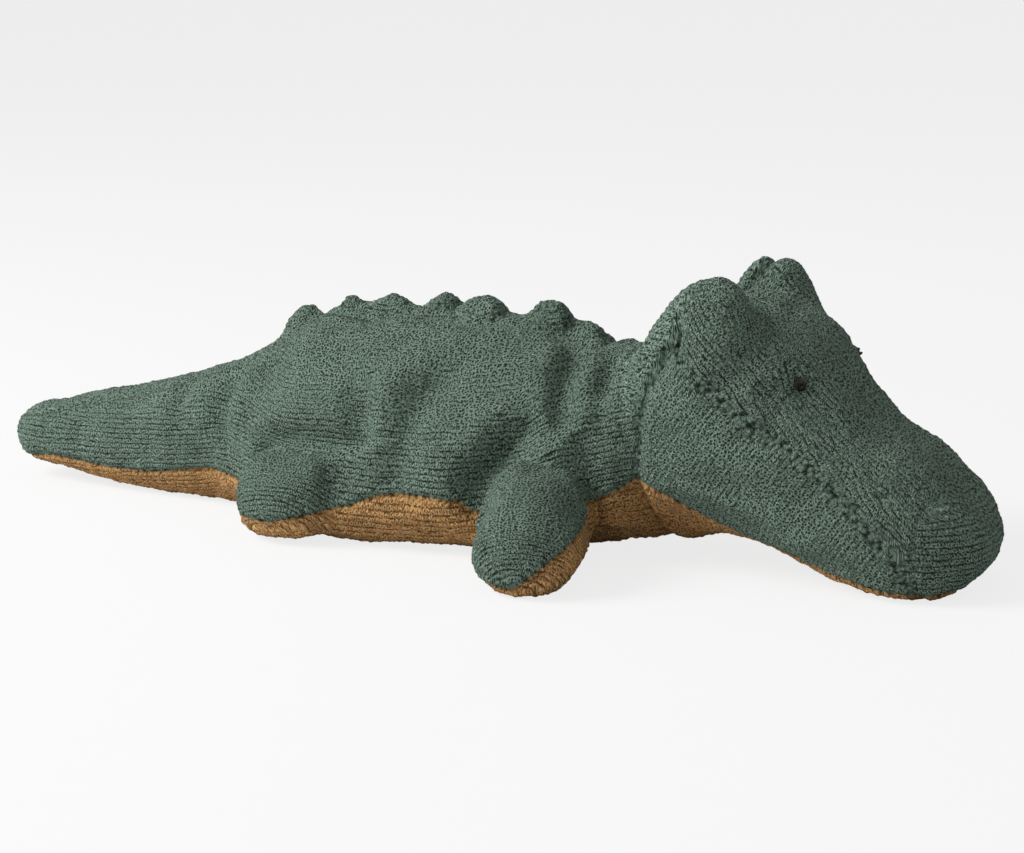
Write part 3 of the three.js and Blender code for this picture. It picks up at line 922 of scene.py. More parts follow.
@dataclass
class Stuffer:
    """Joins closed forms into one skin and lets the stuffing round them off.

    Attributes:
        voxel: The grain of the skin as it is joined.
        smoothing: How many times the joined skin is smoothed.
        softening: How many times it is smoothed again where it is soft.
        pressure: How hard the stuffing presses.
        slack: How much longer the cloth is than the form, as a share.
        frames: How long the cloth settles.
        reach: How far a point may move as it settles.
        tuck: How far the cloth is drawn in before the stuffing presses it out.
    """

    voxel: float = 2.2
    smoothing: int = 7
    softening: int = 10
    pressure: float = 3.0
    slack: float = 0.04
    frames: int = 18
    reach: float = 3.0
    tuck: float = 0.8

    def joined(self, forms: list[Form]) -> bpy.types.Object:
        """Joins closed forms.

        Args:
            forms: The forms.

        Returns:
            One closed skin of four-cornered faces.
        """
        points, faces, count = [], [], 0
        for form_points, form_faces in forms:
            points.append(form_points)
            faces.extend(tuple(i + count for i in face) for face in form_faces)
            count += len(form_points)
        mesh = bpy.data.meshes.new("joined")
        mesh.from_pydata(to_scene(np.concatenate(points)).tolist(), [], faces)
        rough = object_of("joined", mesh)
        remesh = rough.modifiers.new("remesh", "REMESH")
        remesh.mode = "VOXEL"
        remesh.voxel_size = self.voxel * MM
        smooth = rough.modifiers.new("smooth", "SMOOTH")
        smooth.factor = 0.5
        smooth.iterations = self.smoothing
        skin = object_of("skin", evaluated(rough))
        bpy.data.objects.remove(rough)
        return skin

    def settle(self, skin: bpy.types.Object) -> None:
        """Lets the stuffing press the cloth out, and keeps each point near where it was.

        Args:
            skin: The joined skin.
        """
        quads = quads_of(skin.data)
        before = points_of(skin.data)
        before -= normals_of(before, quads) * self.tuck * MM
        place_points(skin.data, before)
        cloth = skin.modifiers.new("cloth", "CLOTH")
        settings = {
            "quality": 5, "mass": 0.2, "tension_stiffness": 15, "compression_stiffness": 15,
            "shear_stiffness": 8, "bending_stiffness": 0.4, "use_pressure": True,
            "uniform_pressure_force": self.pressure, "shrink_min": -self.slack,
        }
        for key, value in settings.items():
            setattr(cloth.settings, key, value)
        cloth.settings.effector_weights.gravity = 0.0
        scene = bpy.context.scene
        for step in range(1, self.frames + 1):
            scene.frame_set(step)
        after = points_of(evaluated(skin))
        scene.frame_set(1)
        skin.modifiers.remove(cloth)
        move = after - before
        far = np.linalg.norm(move, axis=1)
        log.info("cloth moved %.2f mm on average", far.mean() / MM)
        move *= np.minimum(1.0, self.reach * MM / np.maximum(far, 1e-9))[:, None]
        settled = before + move
        settled[:, 2] = np.maximum(settled[:, 2], 0.0)
        place_points(skin.data, settled)

    def soften(self, skin: bpy.types.Object, share: Measure) -> None:
        """Rounds the joined forms off further.

        Args:
            skin: The joined skin.
            share: How soft each point's place is, from 0 to 1.
        """
        points, quads = points_of(skin.data), quads_of(skin.data)
        weight = 0.5 * share(to_toy(points))[:, None]
        ends = np.stack([quads, np.roll(quads, -1, axis=1)], axis=-1).reshape(-1, 2)
        ends = np.concatenate([ends, ends[:, ::-1]])
        count = np.bincount(ends[:, 0], minlength=len(points))[:, None]
        for _ in range(self.softening):
            total = np.stack([
                np.bincount(ends[:, 0], points[ends[:, 1], axis], len(points)) for axis in range(3)
            ], axis=1)
            points += weight * (total / count - points)
        place_points(skin.data, points)

    def skin(self, forms: list[Form], share: Measure) -> Skin:
        """Joins, softens, settles and refines the forms into the skin.

        Args:
            forms: The closed forms.
            share: How soft each point's place is, from 0 to 1.

        Returns:
            The skin.
        """
        made = self.joined(forms)
        self.soften(made, share)
        log.info("joined skin: %d faces", len(made.data.polygons))
        self.settle(made)
        finer = made.modifiers.new("finer", "SUBSURF")
        finer.levels = finer.render_levels = 2
        mesh = evaluated(made)
        skin = Skin(to_toy(points_of(mesh)), quads_of(mesh))
        bpy.data.objects.remove(made)
        bpy.data.meshes.remove(mesh)
        log.info("fine skin: %d faces", len(skin.quads))
        return skin


@dataclass(frozen=True)
class Piece:
    """A panel cut from the skin.

    Attributes:
        name: The piece's name.
        cloth: The cloth it is cut from.
        mask: Which faces of the skin are in it.
        bodies: The CAD body it rides on, or the two between which it would bend.
        nodes: The CAD nodes that it stands for.
        bend: Where it would start and stop bending, in the toy's frame. Nothing bends the piece.
        fill: How full it would be stuffed. It is not used.
    """

    name: str
    cloth: Panel
    mask: np.ndarray
    bodies: tuple[str, ...]
    nodes: tuple[str, ...]
    bend: tuple[Place, ...] = ()
    fill: float = 0.8


@dataclass
class Cutter:
    """Cuts pieces one after the other, each from what is left of the skin.

    Attributes:
        free: Which faces of the skin are left.
        made: The pieces cut so far.
    """

    free: np.ndarray
    made: list[Piece] = field(default_factory=list)

    def cut(self, name: str, cloth: Panel, mask: np.ndarray, bodies: tuple[str, ...],
            nodes: tuple[str, ...], bend: tuple[Place, ...] = (), fill: float = 0.8) -> None:
        """Cuts one piece.

        Args:
            name: The piece's name, without its last word.
            cloth: The cloth it is cut from.
            mask: Which faces it takes, of those that are left.
            bodies: The CAD body it rides on, or the two between which it would bend.
            nodes: The CAD nodes that it stands for.
            bend: Where it would start and stop bending.
            fill: How full it is stuffed.
        """
        mask = mask & self.free
        self.free[mask] = False
        if mask.any():
            self.made.append(Piece(f"{name}_terry", cloth, mask, bodies, nodes, bend, fill))


@dataclass
class Body:
    """Tail, torso and neck: one long stuffed form with a seam low along each side.

    Attributes:
        tail_tip_end: Where the pieces of the tail's tip end.
        tail_root_end: Where the pieces of the tail's root end.
        torso_end: Where the torso's pieces end and the neck starts to turn.
        neck_turn_end: Where the neck has turned fully and the head starts to nod.
        head_start: Where the head has nodded fully.
        tail_tip_bend: Where the tail starts to curl, and where it has curled fully.
        tail_root_bend: Where the tail starts to swing, and where it has swung fully.
        tail_height: Height of the tail's middle.
        neck_height: Height of the neck's middle.
        tail_fill: How full the tail is stuffed.
        form: Its form along the spine.
    """

    tail_tip_end: float = -140.0
    tail_root_end: float = -90.0
    torso_end: float = 54.0
    neck_turn_end: float = 67.0
    head_start: float = 80.0
    tail_tip_bend: tuple[float, float] = (-148.0, -190.0)
    tail_root_bend: tuple[float, float] = (-92.0, -126.0)
    tail_height: float = 20.0
    neck_height: float = 42.0
    tail_fill: float = 0.7
    form: StuffedForm = StuffedForm(
        stations=(
            (-217.5, 11.6, 27.4, 17.5, 8.0, 2.4),
            (-201.0, 14.6, 30.4, 18.0, 5.2, 2.5),
            (-172.0, 18.8, 37.6, 19.4, 2.2, 2.6),
            (-143.0, 22.2, 45.2, 21.9, 0.0, 2.8),
            (-125.0, 24.4, 51.8, 24.0, -1.5, 2.8),
            (-108.0, 27.0, 58.2, 26.5, -2.0, 2.8),
            (-93.0, 33.5, 66.0, 26.0, -2.5, 3.6),
            (-75.0, 46.0, 77.8, 24.0, -4.0, 5.5),
            (-50.0, 52.4, 77.4, 24.0, -5.0, 6.0),
            (-20.0, 52.0, 77.8, 24.0, -4.0, 5.5),
            (5.0, 50.0, 76.2, 25.0, -3.0, 4.4),
            (25.0, 47.0, 77.0, 29.0, -2.5, 3.6),
            (40.0, 42.0, 70.4, 35.0, -2.0, 3.0),
            (54.0, 37.0, 76.0, 39.5, 0.0, 2.5),
            (64.0, 34.0, 81.4, 42.0, 5.0, 1.9),
            (80.0, 30.0, 80.0, 42.0, 8.8, 1.7),
        ),
        upper=2.1, start_round=15.0,
    )

    def forms(self) -> list[Form]:
        """The closed forms that make the body."""
        return [self.form.loft()]

    def bends(self) -> dict[str, tuple[Place, Place]]:
        """Works out where the cloth bends.

        Returns:
            For each hinge on the spine where the cloth starts and stops bending.
        """
        spans = {
            "tail_tip": (self.tail_tip_bend, self.tail_height),
            "tail_root": (self.tail_root_bend, self.tail_height),
            "turn": ((self.torso_end, self.neck_turn_end), self.neck_height),
            "nod": ((self.neck_turn_end, self.head_start), self.neck_height),
        }
        return {name: tuple((x, 0.0, z) for x in span) for name, (span, z) in spans.items()}

    def seam_height(self, points: np.ndarray) -> np.ndarray:
        """Height of the seam between back and belly at each point's place."""
        return curve_through(BELLY_SEAM, points[:, 0])[:, 0]

    def lay(self, points: np.ndarray, normals: np.ndarray) -> Rows:
        """Lays the rows of the cloth along the body, and across where the cloth ends.

        Args:
            points: Points of the skin.
            normals: The skin's normals there.

        Returns:
            How the rows lie.
        """
        x, y, z = points.T
        width, top, waist, bottom, _ = curve_through(np.array(self.form.stations), x).T
        radius = (width + np.where(z > waist, top - waist, waist - bottom)) / 2
        rows = x, radius * np.arctan2(z - waist, np.abs(y))
        crest = (z > top - 4.0) & (np.abs(y) < 16.0)
        rows = laid(rows, crest, (x, np.where(np.abs(normals[:, 1]) > 0.6, -z, y)))
        facing = normals[:, 0]
        end = (np.abs(facing) > 0.6) | ((facing < -0.3) & (x > self.torso_end + 2))
        return laid(rows, end, (y, z))


@dataclass
class Head:
    """Head and eye bumps, turned a little to the toy's right.

    Attributes:
        place: The head's own frame: it starts at the neck hinge.
        bumps: For each ball of an eye bump its side, its centre and its half lengths.
        brow: Centre and half lengths of the swell below a bump.
        bump_floor: Height from which a bump's cloth is a piece of its own.
        nose_start: How far ahead the rows run round the nose, at the floor.
        snout_fall: How steeply the rows fall on the snout's sides, in degrees.
        cheek_tilt: How steeply they rise on the cheeks, in degrees.
        form: The head's form along its own X axis.
    """

    place: Turned = Turned(SHOULDER_X, 0.0, -4.0)
    bumps: tuple[tuple[int, Place, Place], ...] = (
        (-1, (35.0, -26.5, 83.0), (15.0, 15.5, 21.0)),
        (-1, (29.0, -26.0, 80.5), (15.0, 15.0, 21.0)),
        (1, (35.0, 26.0, 83.2), (14.4, 15.2, 21.0)),
        (1, (31.0, 25.0, 83.6), (13.5, 14.5, 21.8)),
    )
    brow: tuple[Place, Place] = ((29.0, 29.5, 66.0), (22.0, 12.5, 30.0))
    bump_floor: float = 86.0
    nose_start: float = 103.0
    snout_fall: float = 52.0
    cheek_tilt: float = 55.0
    form: StuffedForm = StuffedForm(
        stations=(
            (-6.0, 30.0, 72.0, 40.0, 8.8, 1.7),
            (3.0, 34.5, 77.5, 39.0, 8.5, 1.7),
            (12.0, 37.2, 84.5, 36.5, 9.0, 1.65),
            (20.0, 39.2, 90.5, 34.5, 9.6, 1.6),
            (31.8, 40.9, 93.5, 32.8, 10.8, 1.6),
            (46.6, 41.5, 92.0, 30.0, 10.8, 1.7),
            (61.5, 40.7, 83.0, 27.3, 6.4, 1.9),
            (73.4, 39.0, 67.6, 24.6, -0.4, 2.3),
            (86.4, 36.5, 54.4, 21.4, -3.6, 2.8),
            (101.3, 33.2, 46.6, 18.2, -3.2, 3.0),
            (115.0, 29.8, 35.0, 16.4, 0.0, 2.6),
            (127.5, 25.6, 28.2, 16.4, 4.0, 2.3),
        ),
        upper=3.0, end_round=18.0,
    )

    def forms(self) -> list[Form]:
        """Builds the closed forms that make the head.

        Returns:
            The forms of the head, the eye bumps and the swells below them.
        """
        points, faces = self.form.loft()
        forms = [(self.place.out(points), faces)]
        (x, y, z), radii = self.brow
        balls = [ball(centre, size) for _, centre, size in self.bumps]
        balls += [ball((x, side * y, z), radii) for side in SIDES.values()]
        return forms + [(self.place.out(points), faces) for points, faces in balls]

    def run(self, places: np.ndarray) -> np.ndarray:
        """Measures along the top of the head.

        Args:
            places: Places along the head's own X axis.

        Returns:
            How long the top of the head is up to each place.
        """
        rows = np.array(self.form.stations)
        grid = np.linspace(rows[0, 0], rows[-1, 0], 140)
        top = curve_through(rows, grid)[:, 1]
        length = np.concatenate([[0.0], np.cumsum(np.hypot(np.diff(grid), np.diff(top)))])
        return np.interp(places, grid, length)

    def bump_mask(self, points: np.ndarray, side: int) -> np.ndarray:
        """Finds the eye bump of a side.

        Args:
            points: Points of the skin.
            side: Which way the side lies along Y.

        Returns:
            Which points are on the bump.
        """
        local = self.place.into(points)
        found = np.zeros(len(points), bool)
        for bump_side, centre, radii in self.bumps:
            gap = (local - np.array(centre)) / (np.array(radii) + 2.0)
            found |= (bump_side == side) & (np.sum(gap**2, axis=1) < 1.0)
        return found & (local[:, 2] > self.bump_floor)

    def soft(self, points: np.ndarray) -> np.ndarray:
        """How much each point is rounded off: round the eye bumps, where the cloth is taut."""
        local = self.place.into(points)
        return ramp(-4.0, 8.0, local[:, 0]) * ramp(58.0, 74.0, local[:, 2])

    def ahead(self, points: np.ndarray) -> np.ndarray:
        """How far points lie ahead of the seam between neck and head."""
        local = self.place.into(points)
        return local[:, 0] - curve_through(NECK_SEAM, local[:, 2])[:, 0]

    def above_cheek(self, points: np.ndarray) -> np.ndarray:
        """How far points lie above the seam between snout and cheek."""
        local = self.place.into(points)
        return local[:, 2] - curve_through(CHEEK_SEAM, local[:, 0])[:, 0]

    def above_jaw(self, points: np.ndarray) -> np.ndarray:
        """How far points lie above the seam between cheek and jaw."""
        local = self.place.into(points)
        return local[:, 2] - curve_through(JAW_SEAM, local[:, 0])[:, 0]

    def lay(self, rows: Rows, points: np.ndarray, centres: np.ndarray,
            normals: np.ndarray) -> Rows:
        """Lays the rows of the cloth on the head.

        Args:
            rows: How they lie so far.
            points: Points of the skin.
            centres: For each point the place that says which way its cloth lies.
            normals: The skin's normals there.

        Returns:
            How the rows lie, with the head's own.
        """
        x, y, z = self.place.into(points).T
        middle = self.place.into(centres)
        facing = self.place.turn_into(normals)
        aside = np.abs(facing[:, 1])
        ahead = self.ahead(centres) > 0
        above = self.above_cheek(centres)
        width, top, waist, _, _ = curve_through(np.array(self.form.stations), x).T
        crown = (width + top - waist) / 2 * np.arctan2(y, np.maximum(z - waist, 1.0))
        high = ahead & (above > 0) & (middle[:, 2] > 30.0)
        sideways = high & (aside > 0.75)
        rearward = ahead & (facing[:, 0] < -0.5)
        nose = ahead & (middle[:, 0] > self.nose_start + 0.35 * middle[:, 2])
        down_along, down_across = slanted(x, z, -self.snout_fall)
        for mask, there in (
            (ahead, (self.run(x), crown)),
            (nose, (np.where(aside > 0.7, x, y), -z)),
            (high & (facing[:, 0] > 0.65) & ~sideways, (-z, y)),
            (sideways, (down_along, -down_across)),
            (rearward, (y, z)),
            (ahead & (above < 0) & ~nose & ~rearward, slanted(x, z, self.cheek_tilt)),
        ):
            rows = laid(rows, mask, there)
        return rows


@dataclass
class Leg:
    """A short stuffed leg that points away from the body.

    Attributes:
        name: The name of its CAD body.
        side: Which way its side lies along Y.
        x: Its hinge's place along the spine.
        y: How far its hinge is from the spine.
        splay: How far it points forwards, in degrees.
        stations: Its form along its own X axis.
        sole_seam: Height of the seam between its top and its sole.
        sole_rise: How steeply that seam rises towards the front.
        seam_from: How far from the spine that seam starts to leave the body's.
        seam_to: How far from the spine it has left it.
        bend_from: Where along its axis it starts to bend, and its pieces start.
        bend_to: Where along its axis it moves fully.
        reach_back: Half the width of its pieces.
        end_round: How far its foot rounds off.
    """

    name: str
    side: int
    x: float
    y: float
    splay: float
    stations: tuple[tuple[float, float, float, float, float, float], ...]
    sole_seam: float
    sole_rise: float
    seam_from: float
    seam_to: float
    bend_from: float
    bend_to: float
    reach_back: float = 27.0
    end_round: float = 16.0

    @property
    def place(self) -> Turned:
        """Where the leg's hinge stands and which way the leg points."""
        return Turned(self.x, self.side * self.y, self.side * (90.0 - self.splay))

    def forms(self) -> list[Form]:
        """Builds the closed form that makes the leg.

        Returns:
            The form, alone in a list.
        """
        form = StuffedForm(self.stations, upper=2.2, end_round=self.end_round)
        points, faces = form.loft()
        return [(self.place.out(points), faces)]

    def seam_share(self, points: np.ndarray) -> np.ndarray:
        """Tells the leg's own seam from the body's.

        Args:
            points: Points of the skin.

        Returns:
            How far each point belongs to the leg's seam, from 0 to 1.
        """
        local = self.place.into(points)
        near = ramp(self.reach_back, self.reach_back - 6, np.abs(local[:, 1]))
        return near * ramp(self.seam_from, self.seam_to, self.side * points[:, 1])

    def seam_height(self, points: np.ndarray) -> np.ndarray:
        """Height of the seam between the leg's top and its sole: it rises towards the front."""
        ahead = -self.side * self.place.into(points)[:, 1]
        return self.sole_seam + self.sole_rise * np.maximum(ahead + 1.0, 0.0)

    def holds(self, points: np.ndarray) -> np.ndarray:
        """Which points are on the leg, out of the body."""
        local = self.place.into(points)
        return (local[:, 0] > self.bend_from) & (np.abs(local[:, 1]) < self.reach_back)

    def lay(self, rows: Rows, points: np.ndarray, centres: np.ndarray,
            normals: np.ndarray) -> Rows:
        """Lays the rows of the cloth on the leg.

        Args:
            rows: How they lie so far.
            points: Points of the skin.
            centres: For each point the place that says which way its cloth lies.
            normals: The skin's normals there.

        Returns:
            How the rows lie, with the leg's own.
        """
        x, y, z = self.place.into(points).T
        sideways = np.abs(self.place.turn_into(normals)[:, 1]) > 0.72
        held = self.seam_share(centres) > 0.35
        return laid(rows, held, (np.where(sideways, x + 0.4 * z, y), z - x))

    def bend(self) -> tuple[Place, ...]:
        """Where the leg starts and stops bending, in the toy's frame."""
        ends = self.place.out(np.array([[self.bend_from, 0.0, 0.0], [self.bend_to, 0.0, 0.0]]))
        return tuple(tuple(row) for row in ends.tolist())


def legs() -> list[Leg]:
    """Gives the four legs their sizes.

    Returns:
        A front leg and a rear leg for each side.
    """
    made = []
    for word, side in SIDES.items():
        made.append(Leg(
            f"front_leg_{word}", side, x=31.5, y=48.0, splay=17.2,
            stations=(
                (-22.0, 15.0, 34.0, 16.0, -0.5, 2.6), (0.0, 18.2, 38.5, 15.5, -0.5, 2.6),
                (9.7, 18.6, 38.0, 15.0, -1.0, 2.3), (19.5, 18.4, 35.4, 14.6, -2.2, 2.2),
                (29.0, 18.2, 31.8, 14.2, -3.0, 2.2), (43.5, 17.0, 27.0, 12.6, -3.0, 2.2),
            ),
            sole_seam=3.6, sole_rise=0.8, seam_from=44.0, seam_to=60.0, bend_from=3.0, bend_to=18.0,
        ))
        made.append(Leg(
            f"rear_leg_{word}", side, x=-64.5, y=38.0, splay=0.0,
            stations=(
                (-20.0, 15.0, 34.0, 14.0, -1.0, 2.6), (0.0, 18.5, 36.5, 14.0, -2.0, 2.6),
                (13.5, 19.6, 34.8, 13.3, -2.5, 2.6), (28.5, 18.4, 31.0, 12.6, -2.5, 2.5),
            ),
            sole_seam=9.0, sole_rise=0.25, seam_from=46.0, seam_to=58.0, bend_from=15.5,
            bend_to=24.0, reach_back=24.0,
        ))
    return made


@dataclass
class Scutes:
    """Seven stuffed scallops along the spine.

    Attributes:
        rows: For each scallop its place, its height over the back, half its length, half its
            thickness, its offset to the left and its lean in degrees.
        root: How deep a scallop's middle sits in the back.
        skirt: How far round a scallop the cloth counts as its own.
    """

    rows: tuple[tuple[float, float, float, float, float, float], ...] = (
        (-85.5, 12.4, 7.8, 8.5, -3.0, -32.0),
        (-64.5, 5.2, 9.0, 10.0, 1.5, 12.0),
        (-46.0, 6.8, 8.4, 10.0, -1.0, -10.0),
        (-26.5, 6.4, 8.4, 10.0, 1.5, 12.0),
        (-9.5, 9.8, 9.6, 11.5, -4.5, -28.0),
        (15.0, 10.4, 10.2, 10.0, 1.0, 12.0),
        (28.5, 6.4, 8.4, 9.0, -1.5, -14.0),
    )
    root: float = 8.0
    skirt: float = 0.8

    def balls(self, body: Body) -> list[tuple[Place, Place, float]]:
        """Works out where the scallops stand.

        Args:
            body: The body that carries them.

        Returns:
            Centre, half lengths and lean of each.
        """
        stations = np.array(body.form.stations)
        made = []
        for x, height, length, thickness, offset, lean in self.rows:
            middle = curve_through(stations, np.array([x]))[0, 1] - self.root
            made.append(((x, offset, middle), (length, thickness, height + self.root), lean))
        return made

    def forms(self, body: Body) -> list[Form]:
        """The closed forms that make the scallops."""
        return [ball(*row) for row in self.balls(body)]

    def masks(self, points: np.ndarray, body: Body) -> list[np.ndarray]:
        """Which points are on each scallop."""
        return [(gap < 1.0) & (points[:, 2] > centre[2])
                for gap, (centre, _, _) in zip(self.gaps(points, body), self.balls(body))]

    def gaps(self, points: np.ndarray, body: Body) -> list[np.ndarray]:
        """Measures how far points lie from each scallop.

        Args:
            points: Points of the skin.
            body: The body that carries the scallops.

        Returns:
            For each scallop one value for each point: 0 in its middle and 1 on its surface.
        """
        found = []
        for centre, radii, lean in self.balls(body):
            c, s = math.cos(math.radians(lean)), math.sin(math.radians(lean))
            gap = points - np.array(centre)
            y, z = gap[:, 1] * c + gap[:, 2] * s, gap[:, 2] * c - gap[:, 1] * s
            gap = np.stack([gap[:, 0], y, z], axis=1) / (np.array(radii) + self.skirt)
            found.append(np.sum(gap**2, axis=1))
        return found


@dataclass
class Seams:
    """How far each point of the skin lies from the seams, measured along the skin.

    Attributes:
        colour: From the seam between green and ochre cloth, with the green side above 0.
        neck: From the seam between neck and head, with the head above 0.
        cheek: From the seam between snout and cheek, with the snout above 0. Off the head it is
            far away.
        pull: How hard the neck's seam is pulled tight, as a share.
        ahead: Which points are on the head.
    """

    colour: np.ndarray
    neck: np.ndarray
    cheek: np.ndarray
    pull: np.ndarray
    ahead: np.ndarray

    def near(self) -> np.ndarray:
        """How far points lie from the seams beside which the cloth is ruffled."""
        neck = np.abs(self.neck) / np.minimum(self.pull, 1.0)
        return np.minimum(0.7 * np.abs(self.cheek), np.minimum(neck, 1.8 * np.abs(self.colour)))


@dataclass
class Crocodile:
    """The toy: its forms, its seams and the panels that its skin is cut into.

    Attributes:
        body: Tail, torso and neck.
        head: The head.
        legs: The four legs.
        scutes: The scallops on the spine.
        stuffer: What makes one skin of them.
        loop_height: How far the loops stand out of the cloth.
        bump_top: Heights between which the neck's seam loosens over the right eye bump.
    """

    body: Body = field(default_factory=Body)
    head: Head = field(default_factory=Head)
    legs: list[Leg] = field(default_factory=legs)
    scutes: Scutes = field(default_factory=Scutes)
    stuffer: Stuffer = field(default_factory=Stuffer)
    loop_height: float = 0.26
    bump_top: tuple[float, float] = (84.0, 96.0)

    def skin(self) -> Skin:
        """Builds the whole skin.

        Returns:
            The skin, still smooth.
        """
        forms = self.body.forms() + self.head.forms() + self.scutes.forms(self.body)
        for leg in self.legs:
            forms += leg.forms()
        return self.stuffer.skin(forms, self.head.soft)

    def green_above(self, points: np.ndarray) -> np.ndarray:
        """Measures how far points lie above the seam between green and ochre cloth.

        Args:
            points: Points of the skin.

        Returns:
            One height for each point.
        """
        seam = self.body.seam_height(points)
        for leg in self.legs:
            seam = seam + leg.seam_share(points) * (leg.seam_height(points) - seam)
        above = points[:, 2] - seam
        return np.where(self.head.ahead(points) > 0, self.head.above_jaw(points), above)

    def press(self, skin: Skin) -> None:
        """Presses creases, lumps, seams and the loops of the cloth into the skin.

        Args:
            skin: The skin. How its rows lie and where painted shade darkens it are filled in too.
        """
        self.press_folds(skin)
        seams = self.press_seams(skin)
        normals = normals_of(skin.points, skin.quads)
        self.press_loops(skin, seams, normals)
        self.lay_rows(skin)
        self.ruffle(skin, seams, normals)

    def press_folds(self, skin: Skin) -> None:
        """Presses the creases, the lumps and the dimples under the eyes into the skin.

        Args:
            skin: The skin.
        """
        points = skin.points
        push = np.zeros(len(points))
        mirrored = points * np.array([1.0, -1.0, 1.0])
        for crease in CREASES:
            push += crease.push(points) + crease.push(mirrored)
        for grain, height in LUMPS.items():
            push += height * grain.at(points)
        crest = ramp(72.0, 78.0, points[:, 2]) * ramp(46.0, 38.0, points[:, 0])
        push += crest * ramp(12.0, 6.0, np.abs(points[:, 1])) * Grain.SCUTES.at(points)
        for place in EYES.values():
            push += EYE_DIMPLE.push(np.linalg.norm(points - place, axis=1))
        points += normals_of(points, skin.quads) * push[:, None]

    def press_seams(self, skin: Skin) -> Seams:
        """Presses the grooves of the seams into the skin.

        Args:
            skin: The skin.

        Returns:
            How far its points lie from the seams.
        """
        points = skin.points
        normals = normals_of(points, skin.quads)
        ahead = self.head.ahead(points) > 0
        left, high = points[:, 1] > 0, points[:, 2] > self.bump_top[0]
        pull = 1 - 0.75 * ramp(*self.bump_top, points[:, 2]) * (points[:, 1] < 0)
        cheek = surface_distance(self.head.above_cheek, points, normals)
        seams = Seams(
            colour=surface_distance(self.green_above, points, normals),
            neck=surface_distance(self.head.ahead, points, normals),
            cheek=np.where(ahead, cheek, 99.0),
            pull=np.where(left & high, 1.3, pull),
            ahead=ahead,
        )
        push = COLOUR_GROOVE.push(seams.colour) + seams.pull * NECK_GROOVE.push(seams.neck)
        push += CHEEK_GROOVE.push(seams.cheek)
        points += normals * push[:, None]
        return seams

    def press_loops(self, skin: Skin, seams: Seams, normals: np.ndarray) -> None:
        """Presses the loops of the cloth into the skin, and keeps the skin above the floor.

        Args:
            skin: The skin.
            seams: How far its points lie from the seams.
            normals: Its normals.
        """
        points = skin.points
        ruffle = np.exp(-(seams.near() / 3.2) ** 2)
        ruffle *= np.where(np.abs(seams.neck) < np.abs(seams.cheek), 0.55, 1.0)
        loops = (1 - 0.6 * ruffle) * GREEN.relief_at(*self.lay(points, points, normals))
        loops += (0.5 + 1.9 * ruffle) * Grain.LOOPS.at(points)
        points += normals * (self.loop_height * loops)[:, None]
        points[:, 2] = np.maximum(points[:, 2], 0.0)

    def lay_rows(self, skin: Skin) -> None:
        """Fills in how the rows of the cloth lie on each face of the skin.

        Args:
            skin: The skin.
        """
        corners = skin.points[skin.quads]
        flat = np.cross(corners[:, 2] - corners[:, 0], corners[:, 3] - corners[:, 1])
        flat /= np.maximum(np.linalg.norm(flat, axis=1), 1e-9)[:, None]
        centres = np.repeat(corners.mean(axis=1), 4, axis=0)
        along, across = self.lay(corners.reshape(-1, 3), centres, np.repeat(flat, 4, axis=0))
        skin.rows = np.stack([along, across, 0 * along], axis=1).reshape(-1, 4, 3)

    def ruffle(self, skin: Skin, seams: Seams, normals: np.ndarray) -> None:
        """Fills in where the cloth is ruffled, and where it is darkened with painted shade.

        Args:
            skin: The skin.
            seams: How far its points lie from the seams.
            normals: Its normals, without the loops.
        """
        points = skin.points
        # Tufts and painted shade on the scallops, more on their faces that turn down, and beside
        # the seams.
        tufts = ramp(1.25, 0.75, np.min(self.scutes.gaps(points, self.body), axis=0))
        tufts *= ramp(-0.2, 0.5, Grain.TUFTS.at(points) + 0.3 - 0.6 * normals[:, 2])
        tufts *= ramp(70.0, 74.0, points[:, 2])
        sewn = np.maximum(np.exp(-(seams.near() / 2.5) ** 2), 0.55 * tufts)
        skin.sewn = np.clip(sewn * (0.6 + 0.4 * Grain.FUZZ.at(points)), 0, 1)
        # Painted shade in dark rows where the cloth faces down, and on the head where it faces
        # sideways, less below the cheek seam.
        row_shade = ramp(0.80, 0.20, normals[:, 2])
        snout = np.maximum(row_shade, 0.9 * ramp(0.2, 0.5, np.abs(normals[:, 1])))
        snout *= 1 - 0.6 * ramp(2.0, -8.0, seams.cheek)
        row_shade = np.where(seams.ahead, snout, row_shade)
        skin.row_shade = row_shade * (0.65 + 0.35 * Grain.ROWS.at(points))

    def lay(self, points: np.ndarray, centres: np.ndarray, normals: np.ndarray) -> Rows:
        """Lays the rows of the cloth on the whole toy.

        Args:
            points: Points of the skin.
            centres: For each point the place that says which way its cloth lies.
            normals: The skin's normals there.

        Returns:
            How the rows lie.
        """
        rows = self.body.lay(points, normals)
        for leg in self.legs:
            rows = leg.lay(rows, points, centres, normals)
        rows = self.head.lay(rows, points, centres, normals)
        jaw = (self.head.ahead(centres) > 0) & (self.head.above_jaw(centres) < 0)
        return laid(rows, (normals[:, 2] < -0.7) | jaw, (points[:, 0], points[:, 1]))

